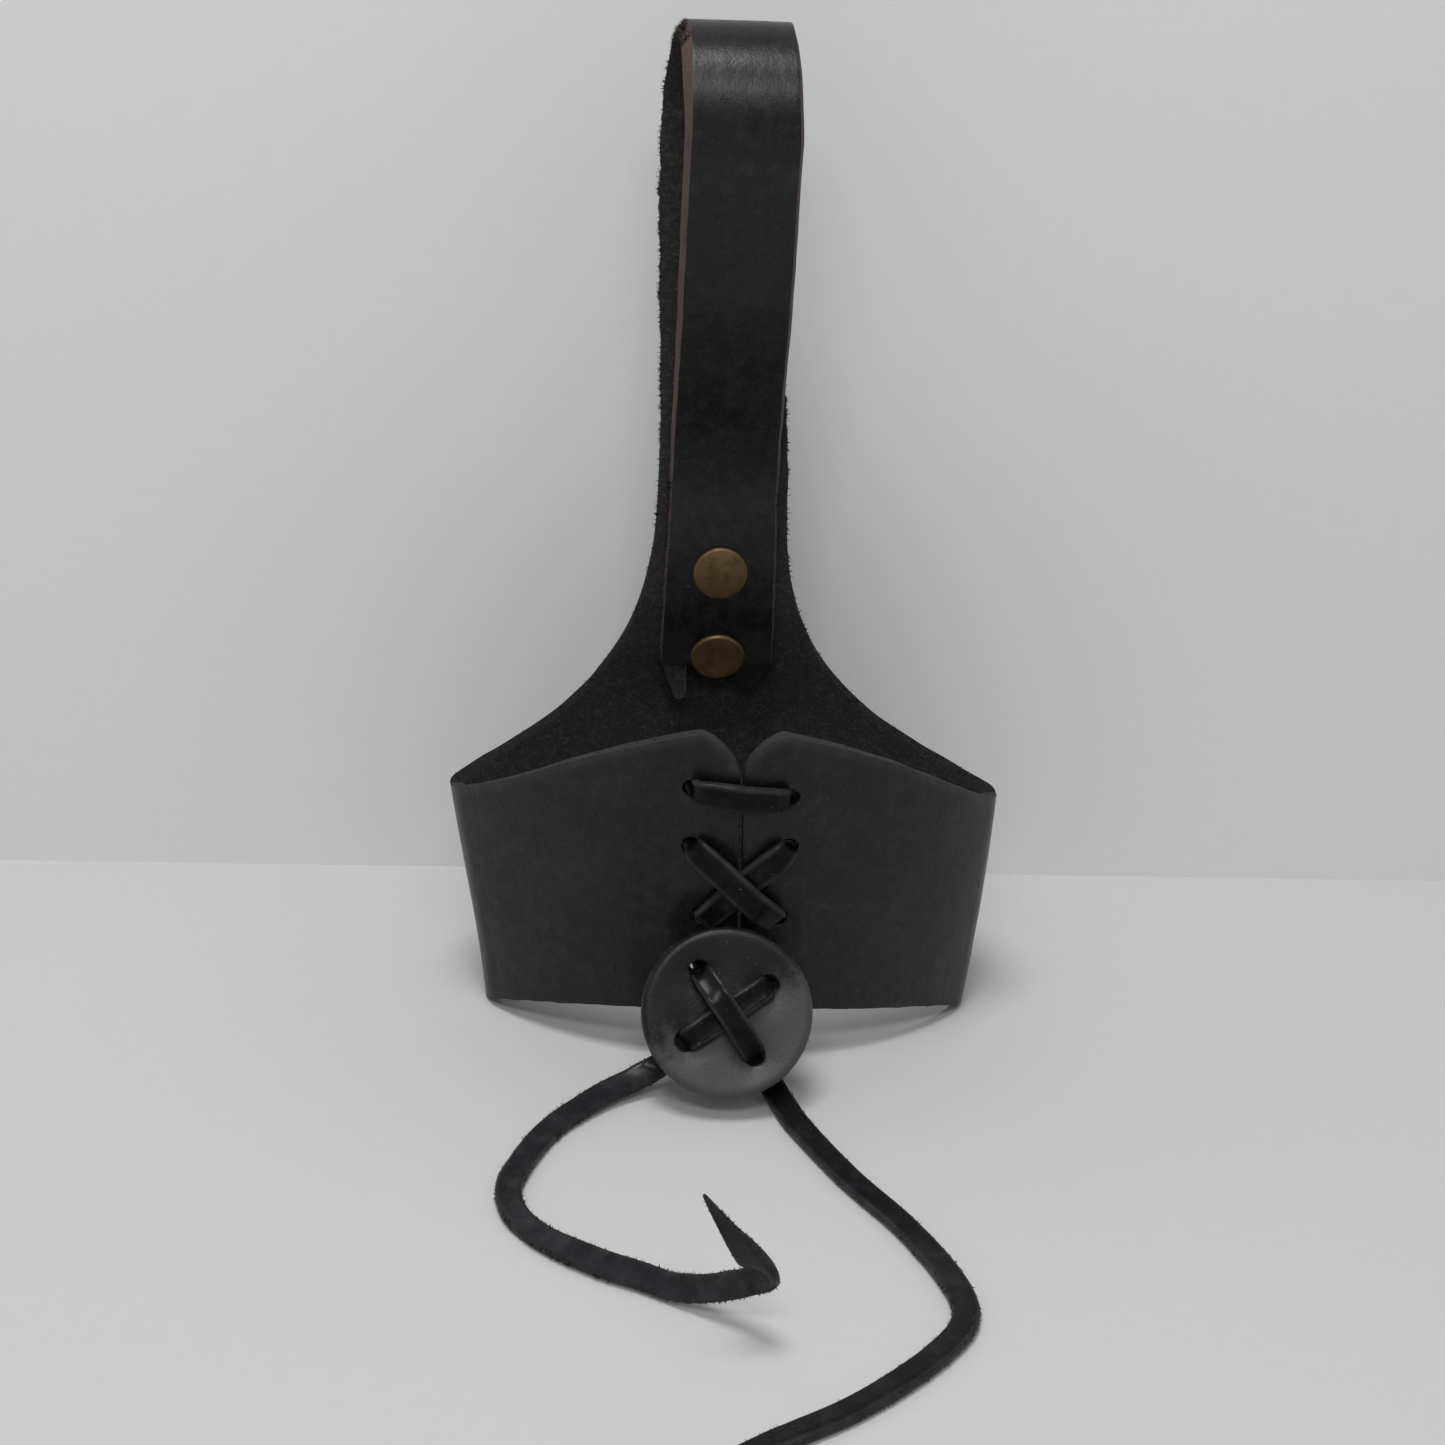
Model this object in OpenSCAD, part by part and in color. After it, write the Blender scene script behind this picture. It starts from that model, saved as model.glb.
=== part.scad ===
// Laced leather belt frog: a belt loop riveted to a back panel, whose two wings wrap
// round to the front as a ring, are laced together there, and lock with a leather button.
// Millimetres, +Z up, front towards -Y, standing on the bottom edge of the back panel.

/* [Leather] */
// Thickness of the leather
leather_t = 3; // [2.4:0.1:3.6]

/* [Ring] */
// Outer width of the ring at its bottom edge
ring_bottom_w = 110.6; // [100:0.2:120]
// Outer width of the ring at the tops of its side bends
ring_top_w = 123.2; // [114:0.2:134]
// Height of the ring at its side bends
side_h = 54; // [46:0.5:60]
// Outer depth of the ring's back half, level with the side tops
back_depth = 33; // [28:0.5:38]
// Outer depth of the ring's front half, level with the side tops
front_depth = 33; // [28:0.5:38]
// How much shallower each half is at the floor
depth_taper = 3.5; // [2:0.1:5]
// Outer radius of the side bends
bend_r = 9.5; // [8:0.1:11]
// Rise of the bottom edge from the side bends to the front seam
front_lift = 14; // [8:0.5:18]
// Rise of the top edge from the side bends to the front seam
front_rise = 29; // [22:0.5:34]
// Size of the cut-off upper corner of each wing at the seam
wing_corner = 10.5; // [6:0.5:12]
// Gap between the two wings at the seam
seam_gap = 0.8; // [0.6:0.1:1.4]
// Slit between a wing and the back panel where the leather flexes
flex_gap = 0.3; // [0.2:0.05:0.5]

/* [Belt loop] */
// Width of the strap's front run and tip
strap_w = 24.6; // [22:0.2:27]
// Width of the strap over the fold
fold_w = 23.2; // [21:0.2:26]
// Width of the strap where it leaves the back panel
root_w = 29; // [28:0.2:32]
// Height at which the back panel's flare runs into the strap
root_z = 116; // [110:0.5:122]
// Outer depth of the loop at its fold
loop_depth = 34; // [30:0.5:38]
// Height of the loop's outer top above the floor
loop_top_z = 221; // [212:0.5:230]
// Distance that the strap leans backwards from the upper rivet to the fold
loop_lean = 4.5; // [0:0.5:8]
// Sideways offset between the loop's back and front runs at the fold
loop_skew = 4.4; // [0:0.2:6]
// Distance that the panel comes forward between the ring and the upper rivet
panel_inset = 7.5; // [5:0.5:9]
// Sideways drift of the strap from the ring's centre line
strap_drift = 4.5; // [0:0.5:6]
// Distance from the lower rivet to the two points of the strap's tip
tip_below = 10.3; // [9.5:0.1:12]
// Height of the bevel at each outer corner of the strap's tip
tip_bevel = 6.1; // [3:0.1:6.5]
// Depth of the notch between the tip's two points
tip_notch = 6.3; // [3:0.1:6.5]

/* [Rivets] */
// Height of the upper rivet
rivet_z = 97.5; // [94:0.5:100]
// Distance between the rivets along Z
rivet_pitch = 20.5; // [18:0.5:22]
// Diameter of the rivet caps
rivet_cap_d = 12.3; // [10:0.1:13]
// Height of the front cap's dome
rivet_cap_h = 2.4; // [1.8:0.1:3]
// Height of the rear base's dome
rivet_base_h = 1.6; // [1.2:0.1:2.2]
// Diameter of the rivet posts
rivet_post_d = 4; // [3:0.1:4.6]

/* [Lace] */
// Width of the flat lace
lace_w = 5.5; // [4.6:0.1:6]
// Thickness of the flat lace
lace_t = 2.2; // [1.8:0.1:2.4]
// Distance of the lace holes from the seam
hole_inset = 11.3; // [10:0.1:13]
// Height of the top row of lace holes
top_row_z = 66.7; // [64:0.1:69]
// Distance between rows of lace holes
row_pitch = 14.2; // [13:0.1:14.8]

/* [Button] */
// Diameter of the leather lock button
button_d = 37; // [34:0.5:40]
// Thickness of the button
button_t = 4; // [3.4:0.1:4.6]
// Distance of the button's holes from its centre
button_hole_off = 10.8; // [9.6:0.1:12]
// Clockwise turn of the button, seen from the front
button_turn = 11; // [0:1:20]
// Backward tilt of the button's face
button_tilt = 29; // [24:1:34]
// Height of the button's centre above the floor
button_z = 21.6; // [19.5:0.2:25]
// Distance of the button's centre in front of the ring's front face
button_gap = 14.5; // [13:0.5:20]
// Distance that the button hangs to the left of the seam
button_off = 3.2; // [0:0.2:4]

/* [Hidden] */
$fn = 48;

// Clearances
skin_gap = 0.3;
layer_gap = 0.2;
seat_gap = 0.06;
post_fit = 0.15;
socket_fit = 0.02;
lace_fit = 0.35;

// Shape of the curves
flare_power = 2.3;
rise_power = 1.5;
corner_power = 1.6;
seam_hold = 0.5;
side_steps = 6;
panel_steps = 9;
strap_steps = 6;
ring_rows = 8;
flare_rows = 14;
flare_steps = 24;
wing_steps = 18;
wing_rows = 12;
run_steps = 14;
fold_steps = 14;
corner_steps = 4;
ease_r = 1.9;

leather_colour = "#232326";
edge_colour = "#2b2422";
lace_colour = "#1b1a1c";
brass_colour = "#7d6238";

// Derived sizes
half_t = leather_t / 2;
bend_mid_r = bend_r - half_t;
strap_half = strap_w / 2;
fold_half = fold_w / 2;
root_half = root_w / 2;
lower_rivet_z = rivet_z - rivet_pitch;
tip_z = lower_rivet_z - tip_below;
fold_mid_r = (loop_depth - leather_t) / 2;
spring_z = loop_top_z - fold_mid_r - half_t;
part_z = rivet_z + rivet_cap_d / 2 + 3 * leather_t;
stack_t = 2 * leather_t + layer_gap;
lace_hole_r = norm([lace_w, lace_t]) / 2 + lace_fit;
lace_lift = half_t + skin_gap + lace_t / 2;
flex_turn = asin(flex_gap / 2 / (bend_mid_r - half_t));

function smooth(u) = let (c = min(1, max(0, u))) c * c * (3 - 2 * c);
function smooth_rate(u) = u <= 0 || u >= 1 ? 0 : 6 * u * (1 - u);
function unit(v) = v / norm(v);
function flatten(lists) = [for (list = lists) each list];

// Ring: plan halves of one large arc between two side bends, all tangent
function half_width(z) = ring_bottom_w / 2 - half_t
    + (ring_top_w - ring_bottom_w) / 2 * z / side_h;
function front_b(z) = front_depth - half_t - depth_taper * (1 - z / side_h);
function back_b(z) = back_depth - half_t - depth_taper * pow(1 - min(1, z / side_h), 2);
function arc_r(a, b) = (pow(a - bend_mid_r, 2) + b * b - pow(bend_mid_r, 2))
    / (2 * (b - bend_mid_r));
function meet_angle(a, b) = let (r = arc_r(a, b)) atan2(r - b, a - bend_mid_r);
function bend_point(turn, a, off) = [
    a - bend_mid_r + (bend_mid_r + off) * cos(turn),
    (bend_mid_r + off) * sin(turn)];
function arc_point(x, a, b, off) = let (r = arc_r(a, b), turn = acos(x / r))
    [(r + off) * cos(turn), b - r + (r + off) * sin(turn)];
function arc_depth(x, a, b) = let (r = arc_r(a, b)) b - r + sqrt(r * r - x * x);
function drift(z) = -strap_drift * smooth(z / rivet_z);

// Back panel: its middle is flat over the strap's width and behind the rivets, and it flattens upwards
function panel_a(z) = half_width(z) - strap_half;
function rate(z, from, to) = min(1, max(0, (z - from) / (to - from)));
function ramp(z, from, to) = (to - from) * pow(rate(z, from, to), 2) / 2 + max(0, z - to);
flat_half = rivet_cap_d / 2 + 0.5;
lower_from = lower_rivet_z - flat_half;
lower_to = lower_rivet_z + flat_half;
upper_from = rivet_z - flat_half;
lean_from = rivet_z + flat_half;
inset_slope = panel_inset / ((upper_from + lower_to - lower_from - side_h) / 2);
function panel_y(z) = z <= side_h ? back_b(z)
    : back_b(side_h) - inset_slope * (ramp(z, side_h, lower_from) - ramp(z, lower_to, upper_from))
      + loop_lean * smooth((z - lean_from) / (spring_z - lean_from));
function panel_rate(z) = z <= side_h ? 0
    : -inset_slope * (rate(z, side_h, lower_from) - rate(z, lower_to, upper_from))
      + loop_lean / (spring_z - lean_from) * smooth_rate((z - lean_from) / (spring_z - lean_from));
function slant(z) = norm([1, panel_rate(z)]);
function flatness(z) = 1 - smooth((z - side_h) / (root_z - side_h));
flare_edge = half_width(side_h) + half_t;
function flare_x(z) = flare_edge - (flare_edge - root_half)
    * pow(1 - pow((root_z - z) / (root_z - side_h), flare_power), 1 / flare_power);
panel_trim = 0.4;

// One column of the back panel: side bends first, then by distance from the centre
function side_col(k, z, off) = let (a = panel_a(z), b = back_b(z), end = meet_angle(a, b))
    bend_point(flex_turn + (end - flex_turn) * k / side_steps, a, off) + [strap_half, 0];
function arc_col(share, z, off) = let (a = panel_a(z), b = back_b(z),
        far = (arc_r(a, b)) * cos(meet_angle(a, b)),
        near = root_half + panel_trim - strap_half,
        x = near + (far - near) * share)
    arc_point(x, a, b, off) + [strap_half, 0];
function panel_plan(col, z, off) = col < side_steps ? side_col(col, z, off)
    : col <= strap_first ? arc_col(1 - (col - side_steps) / panel_steps, z, off)
    : [(root_half + panel_trim) * (1 - 2 * (col - strap_first) / strap_steps), back_b(z) + off];
function panel_half(col, z, off) = z <= side_h ? panel_plan(col, z, off)
    : let (low = panel_plan(col, side_h, off), mid = back_b(side_h) + off)
      [low[0], panel_y(z) + off * slant(z) - flatness(z) * (mid - low[1])];
strap_first = side_steps + panel_steps;
panel_last = 2 * strap_first + strap_steps;
function panel_z(row) = row <= ring_rows ? side_h * row / ring_rows
    : side_h + (root_z - side_h) * (row - ring_rows) / flare_rows;
function panel_point(col, row, off) = let (
        flip = col > strap_first + strap_steps,
        z = panel_z(row),
        p = panel_half(flip ? panel_last - col : col, z, off))
    [(flip ? -p[0] : p[0]) + drift(z), p[1], z];

// Strap: up the back, over the fold and down the front, as [x, y, z, ny, nz, half width]
function strap_share(z) = (z - root_z) / (spring_z - root_z);
function front_y(z) = panel_y(z) - (leather_t + layer_gap) * slant(z)
    - (2 * fold_mid_r - leather_t - layer_gap) * smooth((z - part_z) / (spring_z - part_z));
function skew(z) = smooth((z - part_z) / (spring_z - part_z));
tip_base = tip_z + max(tip_bevel, tip_notch) + 0.6;
tip_spread = 2 / 3;
function tip_end(u) = tip_z + (u > tip_spread ? tip_bevel * (u - tip_spread) / (1 - tip_spread)
    : tip_notch * sqrt(1 - pow(u / tip_spread, 2)));
back_run = [for (i = [1:run_steps]) let (z = root_z + (spring_z - root_z) * i / run_steps)
    [drift(z) - loop_skew * skew(z), panel_y(z), z, slant(z), 0,
     root_half + panel_trim + (fold_half - root_half - panel_trim) * strap_share(z)]];
fold_run = [for (i = [1:fold_steps - 1]) let (turn = 180 * i / fold_steps)
    [drift(spring_z) - loop_skew * (1 - i / fold_steps),
     panel_y(spring_z) - fold_mid_r * (1 - cos(turn)), spring_z + fold_mid_r * sin(turn),
     cos(turn), sin(turn), fold_half]];
front_run = [for (i = [0:run_steps + 4])
    let (z = spring_z + (tip_base - spring_z) * i / (run_steps + 4))
    [drift(z), front_y(z), z, -slant(z), 0,
     strap_half + (fold_half - strap_half) * skew(z)]];
strap_run = concat(back_run, fold_run, front_run);
function strap_point(col, s, off) = [
    s[0] + s[5] * (1 - 2 * col / strap_steps), s[1] + off * s[3], s[2] + off * s[4]];
function tip_point(col, off) = let (u = 1 - 2 * col / strap_steps, z = tip_end(abs(u)))
    [drift(z) + strap_half * u, front_y(z) - off * slant(z), z];
function strap_col(col, off) = concat([for (s = strap_run) strap_point(col, s, off)], [tip_point(col, off)]);

// Wings: side bend from the slit, then the front arc to the seam
wing_last = side_steps + wing_steps;
function wing_plan(col, z, off) = let (a = half_width(z), b = front_b(z),
        end = meet_angle(a, b), far = arc_r(a, b) * cos(end),
        share = pow(1 - (col - side_steps) / wing_steps, 1.6))
    col < side_steps ? bend_point(flex_turn + (end - flex_turn) * col / side_steps, a, off)
    : arc_point(seam_gap / 2 + (far - seam_gap / 2) * share, a, b, off);
function wing_share(col) = wing_plan(col, side_h, 0)[1] / front_b(side_h);
function corner_drop(d) = d >= wing_corner ? 0
    : wing_corner * (1 - pow(1 - pow(1 - d / wing_corner, corner_power), 1 / corner_power));
function wing_low(col) = front_lift * wing_share(col);
function wing_high(col) = side_h + front_rise * pow(wing_share(col), rise_power)
    - corner_drop(max(0, wing_plan(col, side_h, 0)[0] - seam_gap / 2));
function wing_point(side, col, row, off) = let (
        low = wing_low(col),
        z = low + (wing_high(col) - low) * row / wing_rows,
        p = wing_plan(col, z, off))
    [side * p[0] + drift(z) * (1 - (1 - seam_hold) * wing_share(col)), -p[1], z];

// Lace holes and the lace's places in front of and behind them
function row_z(row) = top_row_z - row_pitch * (row - 1);
function face_y(x, z) = -arc_depth(x, half_width(z), front_b(z));
function seam_x(z) = drift(z) * seam_hold;
function hole_x(side, row) = side * hole_inset + seam_x(row_z(row));
function outside(side, row) =
    [hole_x(side, row), face_y(hole_inset, row_z(row)) - lace_lift, row_z(row)];
function inside(side, row) =
    [hole_x(side, row), face_y(hole_inset, row_z(row)) + lace_lift, row_z(row)];
function over_seam(z, level) =
    [seam_x(z), face_y(0, z) - lace_lift - skin_gap - level * (lace_t + skin_gap), z];
cross_z = (row_z(2) + row_z(3)) / 2;
cross_half = lace_w * 0.95;
function strand_dir(fall) = unit([2 * hole_inset, 0, -fall * row_pitch]);
face_r = arc_r(half_width(cross_z), front_b(cross_z));
function across(side) = [cos(asin(hole_inset / face_r)), side * hole_inset / face_r, 0];

// Button: its plane, its holes and the lace through them
button_at = [seam_x(button_z) - button_off, -front_b(button_z) - half_t - button_gap, button_z];
button_up = [0, sin(button_tilt), cos(button_tilt)];
button_out = [0, -cos(button_tilt), sin(button_tilt)];
function button_hole(turn) = button_hole_off * [cos(turn - button_turn), sin(turn - button_turn)];
function on_button(p, lift) = button_at + [p[0], 0, 0] + p[1] * button_up + lift * button_out;
function button_dir(v) = unit([v[0], 0, 0] + v[1] * button_up);
stitch_back = button_t / 2 + 1;
lead_back = stitch_back + skin_gap + 0.2;
stitch_lift = button_t / 2 + skin_gap + lace_t / 2;

// The part's own origin: the middle of its box, on the floor
button_reach = button_gap + half_t + front_b(button_z)
    + (button_d - button_t) / 2 * sin(button_tilt) + button_t / 2;
place = [-drift(side_h), (button_reach - back_depth) / 2, 0];

// Solids from point grids
function quad(a, b, c, d) = [[a, c, b], [a, d, c]];
function grid(o, n, m) = [for (i = [0:n - 2], j = [0:m - 2])
    each quad(o + i * m + j, o + (i + 1) * m + j, o + (i + 1) * m + j + 1, o + i * m + j + 1)];
function back_grid(o, n, m) = [for (i = [0:n - 2], j = [0:m - 2])
    each quad(o + i * m + j, o + i * m + j + 1, o + (i + 1) * m + j + 1, o + (i + 1) * m + j)];

// A closed sheet between an outer and an inner grid of columns
module sheet(outer, inner) {
    n = len(outer);
    m = len(outer[0]);
    o = n * m;
    rims = [for (i = [0:n - 2]) each concat(
        quad((i + 1) * m, i * m, o + i * m, o + (i + 1) * m),
        quad((i + 1) * m - 1, (i + 2) * m - 1, o + (i + 2) * m - 1, o + (i + 1) * m - 1))];
    ends = [for (j = [0:m - 2]) each concat(
        quad(j, j + 1, o + j + 1, o + j),
        quad(o - m + j + 1, o - m + j, 2 * o - m + j, 2 * o - m + j + 1))];
    polyhedron(concat(flatten(outer), flatten(inner)),
        concat(grid(0, n, m), back_grid(o, n, m), rims, ends));
}

// A sheet whose columns from first to last run on into a strap
module branched_sheet(outer, inner, strap_outer, strap_inner, first) {
    n = len(outer);
    m = len(outer[0]);
    o = n * m;
    c = len(strap_outer);
    r = len(strap_outer[0]);
    function so(i, k) = k == 0 ? (first + i + 1) * m - 1 : 2 * o + i * r + k - 1;
    function si(i, k) = k == 0 ? o + (first + i + 1) * m - 1 : 2 * o + c * r + i * r + k - 1;
    rims = [for (i = [0:n - 2]) each concat(
        quad((i + 1) * m, i * m, o + i * m, o + (i + 1) * m),
        i >= first && i < first + c - 1 ? []
        : quad((i + 1) * m - 1, (i + 2) * m - 1, o + (i + 2) * m - 1, o + (i + 1) * m - 1))];
    ends = [for (j = [0:m - 2]) each concat(
        quad(j, j + 1, o + j + 1, o + j),
        quad(o - m + j + 1, o - m + j, 2 * o - m + j, 2 * o - m + j + 1))];
    runs = [for (i = [0:c - 2], k = [0:r - 1]) each concat(
        quad(so(i, k), so(i + 1, k), so(i + 1, k + 1), so(i, k + 1)),
        quad(si(i, k), si(i, k + 1), si(i + 1, k + 1), si(i + 1, k)))];
    strap_rims = [for (k = [0:r - 1]) each concat(
        quad(so(0, k), so(0, k + 1), si(0, k + 1), si(0, k)),
        quad(so(c - 1, k + 1), so(c - 1, k), si(c - 1, k), si(c - 1, k + 1)))];
    tip = [for (i = [0:c - 2]) each quad(so(i, r), so(i + 1, r), si(i + 1, r), si(i, r))];
    polyhedron(concat(flatten(outer), flatten(inner), flatten(strap_outer), flatten(strap_inner)),
        concat(grid(0, n, m), back_grid(o, n, m), rims, ends, runs, strap_rims, tip));
}

// Flat lace with eased edges, swept along stations of [point, width direction]
ease = lace_t * 0.3;
lace_section = [
    [lace_w / 2, -lace_t / 2 + ease], [lace_w / 2, lace_t / 2 - ease],
    [lace_w / 2 - ease, lace_t / 2], [-lace_w / 2 + ease, lace_t / 2],
    [-lace_w / 2, lace_t / 2 - ease], [-lace_w / 2, -lace_t / 2 + ease],
    [-lace_w / 2 + ease, -lace_t / 2], [lace_w / 2 - ease, -lace_t / 2]];
function heading(s, i) = unit(s[min(i + 1, len(s) - 1)][0] - s[max(i - 1, 0)][0]);
function lace_ring(s, i, taper) = let (
        along = heading(s, i),
        wide = unit(s[i][1] - (s[i][1] * along) * along),
        thick = cross(along, wide))
    [for (p = lace_section) s[i][0] + p[0] * taper * wide + p[1] * thick];

module lace(s, tapers = []) {
    n = len(s);
    k = len(lace_section);
    rings = [for (i = [0:n - 1]) lace_ring(s, i, i < n - len(tapers) ? 1 : tapers[i - n + len(tapers)])];
    sides = [for (i = [0:n - 2], j = [0:k - 1]) let (f = (j + 1) % k)
        each quad(i * k + j, i * k + f, (i + 1) * k + f, (i + 1) * k + j)];
    caps = [for (j = [1:k - 2]) each
        [[0, j, j + 1], [(n - 1) * k, (n - 1) * k + j + 1, (n - 1) * k + j]]];
    polyhedron(flatten(rings), concat(sides, caps));
}

// Stations along corner points [point, width], with every corner eased and twists spread
function bend_at(a, b, c, w) = let (
        d = min(ease_r, norm(a - b) * 0.45, norm(c - b) * 0.45),
        p = b + d * unit(a - b),
        q = b + d * unit(c - b))
    [for (i = [0:corner_steps]) let (u = i / corner_steps)
        [(1 - u) * (1 - u) * p + 2 * u * (1 - u) * b + u * u * q, w]];
function twist(a, b) = norm(a[1] - b[1]) < 0.1 ? []
    : [for (u = [1 / 3, 2 / 3]) [a[0] + u * (b[0] - a[0]), unit((1 - u) * a[1] + u * b[1])]];
function eased(c) = let (
        n = len(c),
        bends = [for (i = [0:n - 1]) i == 0 || i == n - 1 ? [c[i]]
            : bend_at(c[i - 1][0], c[i][0], c[i + 1][0], c[i][1])])
    [for (i = [0:n - 1]) each i == n - 1 ? bends[i]
        : concat(bends[i], twist(bends[i][len(bends[i]) - 1], bends[i + 1][0]))];

// Routes of the laced strands: parted at the seam, so that each side goes with its wing
face_lean = depth_taper / side_h;
upright = unit([0, -face_lean, 1]);
function slope_w(side) = unit([side * row_pitch, -2 * hole_inset * face_lean, 2 * hole_inset]);
function seam_end(side, z, level, fall, d) = over_seam(z, level) + side * d * strand_dir(fall);
function bar_half(side) = [[seam_end(side, row_z(1), 0, 0, skin_gap / 2), upright],
    [outside(side, 1), upright]];
function under_half(side) = [[seam_end(side, cross_z, 0, -1, skin_gap / 2), slope_w(-1)],
    [outside(side, side < 0 ? 3 : 2), slope_w(-1)]];
function over_half(side) = [[seam_end(side, cross_z, 1, 1, skin_gap / 2), slope_w(1)],
    [seam_end(side, cross_z, 1, 1, cross_half), slope_w(1)],
    [outside(side, side < 0 ? 2 : 3), slope_w(1)]];
function behind(side, from, to) = [[inside(side, from), across(side)], [inside(side, to), across(side)]];
function reversed(list) = [for (i = [len(list) - 1:-1:0]) list[i]];
function upper_route(side) = concat(bar_half(side), behind(side, 1, 2),
    reversed(side < 0 ? over_half(side) : under_half(side)));
function lower_route(side) = concat(side < 0 ? under_half(side) : over_half(side), behind(side, 3, 4),
    [[outside(side, 4), across(side)]]);
function lead_route(side) = let (
        hole = button_hole(90 - side * 45),
        wide = button_dir([hole[1] * side, -hole[0] * side] * sign(hole[1] * side)),
        out = outside(side, 4))
    [[out - [0, layer_gap, 0], across(side)], [out - [0, ease_r, 0], across(side)],
     [on_button(hole, -lead_back - ease_r), wide], [on_button(hole, -lead_back), wide]];

// Lace across the button's face, from the hole at one turn to the one opposite
bridge = (lace_w + ease_r) / 2 / button_hole_off;
function stitch_route(turn, level) = let (
        a = button_hole(turn),
        b = button_hole(turn + 180),
        wide = button_dir([a[1], -a[0]]),
        lift = stitch_lift + level * (lace_t + skin_gap))
    [[on_button(a, -stitch_back), wide], [on_button(a, stitch_lift), wide],
     [on_button(a * bridge, lift), wide], [on_button(b * bridge, lift), wide],
     [on_button(b, stitch_lift), wide], [on_button(b, -stitch_back), wide]];

// Free lace tails: where they lie, counted from the lace's way out of the button
left_tail = [[-1, 3, -4], [-4.5, 3.5, -8], [-10, 1.5, -10.5], [-18, -3.5, -12], [-28.5, -15, -13],
    [-35, -29, -13], [-37.5, -38.5, -13], [-36, -48, -13], [-30, -57.5, -13], [-19.5, -66.5, -13],
    [-9.5, -72.5, -12.5], [-2, -78, -10], [4, -83, -6], [8.5, -87, -2], [11, -90, 1.5],
    [8.5, -92.5, 6], [3, -94, 14], [-2, -94.5, 22]];
right_tail = [[1, 3, -3.5], [3, 4.5, -7], [5, 2.5, -9.5], [6.5, -2, -10.5], [10, -13, -10.5],
    [18.5, -32.5, -10.5], [27.5, -49, -10.5], [33.5, -63.5, -10.5], [36.5, -75.5, -10.5],
    [35.5, -84, -10.5], [30, -92.5, -10.5], [21, -102, -10.5], [11, -110.5, -10.5],
    [1, -117, -10.5], [-10, -123.5, -10.5], [-20, -129, -10.5]];
tail_taper = [0.8, 0.45, 0.12];
tail_level = 0.6;
function spline(p, i, u) = let (
        a = p[max(0, i - 1)], b = p[i], c = p[i + 1], d = p[min(len(p) - 1, i + 2)])
    0.5 * (2 * b + u * (c - a) + u * u * (2 * a - 5 * b + 4 * c - d)
        + u * u * u * (3 * b - a - 3 * c + d));
function tail_points(turn, points) = let (
        exit = on_button(button_hole(turn), -stitch_back - layer_gap),
        p = concat([exit - button_out], [for (q = points) exit + q]))
    concat([exit], [for (i = [0:len(p) - 2], u = [0, 0.5]) spline(p, i, u)], [p[len(p) - 1]]);
// The width direction is carried along the tail and settles level
function carried(w, along) = unit(w - (w * along) * along);
function tail_stations(p, start) = [for (i = 0, w = start; i < len(p);
        w = i < len(p) - 1 ? carried([w[0], w[1], tail_level * w[2]],
            unit(p[min(i + 2, len(p) - 1)] - p[i])) : w,
        i = i + 1)
    [p[i], w]];

module riveted(z) {
    translate([drift(z), panel_y(z) - (leather_t + layer_gap) / 2 * slant(z), z])
        rotate([90 - atan(panel_rate(z)), 0, 0])
            children();
}

module rivet_holes() {
    for (z = [rivet_z, lower_rivet_z])
        riveted(z) cylinder(d = rivet_post_d + 2 * post_fit, h = 2 * stack_t, center = true);
}

module flare_cuts() {
    for (side = [-1, 1])
        rotate([90, 0, 0])
            linear_extrude(4 * back_depth, center = true)
                polygon(concat(
                    [[side * (flare_edge + leather_t) + drift(side_h), side_h]],
                    [for (i = [0:flare_steps])
                        let (z = side_h + (root_z - side_h) * pow(i / flare_steps, 2))
                        [side * flare_x(z) + drift(z), z]],
                    [[side * root_half + drift(root_z), loop_top_z],
                     [side * (flare_edge + leather_t) + drift(side_h), loop_top_z]]));
}

module leather_back() {
    rows = ring_rows + flare_rows;
    function panel(off) = [for (c = [0:panel_last]) [for (r = [0:rows]) panel_point(c, r, off)]];
    function strap(off) = [for (c = [0:strap_steps]) strap_col(c, off)];
    color(leather_colour)
        translate(place)
            difference() {
                branched_sheet(panel(half_t), panel(-half_t), strap(half_t), strap(-half_t), strap_first);
                flare_cuts();
                rivet_holes();
            }
}

module wing(side) {
    cols = side > 0 ? [wing_last:-1:0] : [0:wing_last];
    function face(off) = [for (c = cols) [for (r = [0:wing_rows]) wing_point(side, c, r, off)]];
    color(leather_colour)
        translate(place)
            difference() {
                sheet(face(half_t), face(-half_t));
                for (row = [1:4])
                    translate([hole_x(side, row), face_y(hole_inset, row_z(row)), row_z(row)])
                        rotate([90, 0, 0])
                            cylinder(r = lace_hole_r, h = 4 * leather_t, center = true);
            }
}

module leather_wing_left() { wing(-1); }
module leather_wing_right() { wing(1); }

// Domed disc with a rolled rim, underside at z = 0
module dome(h) {
    r = rivet_cap_d / 2;
    rim = h * 0.3;
    crown = (pow(r - rim, 2) + pow(h - rim, 2)) / (2 * (h - rim));
    rotate_extrude()
        polygon(concat(
            [[0, 0], [r - rim, 0]],
            [for (turn = [-90:30:60]) [r - rim + rim * cos(turn), rim + rim * sin(turn)]],
            [for (i = [1:8]) let (x = (r - rim) * (1 - i / 8))
                [x, h - crown + sqrt(crown * crown - x * x) + rim * (1 - i / 8) * 0.4]]));
}

socket_depth = rivet_cap_h * 0.6;

module rivet_cap(z) {
    color(brass_colour)
        translate(place)
            riveted(z)
                translate([0, 0, stack_t / 2 + seat_gap])
                    difference() {
                        dome(rivet_cap_h);
                        translate([0, 0, -1])
                            cylinder(d = rivet_post_d + 2 * socket_fit, h = 1 + socket_depth);
                    }
}

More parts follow.
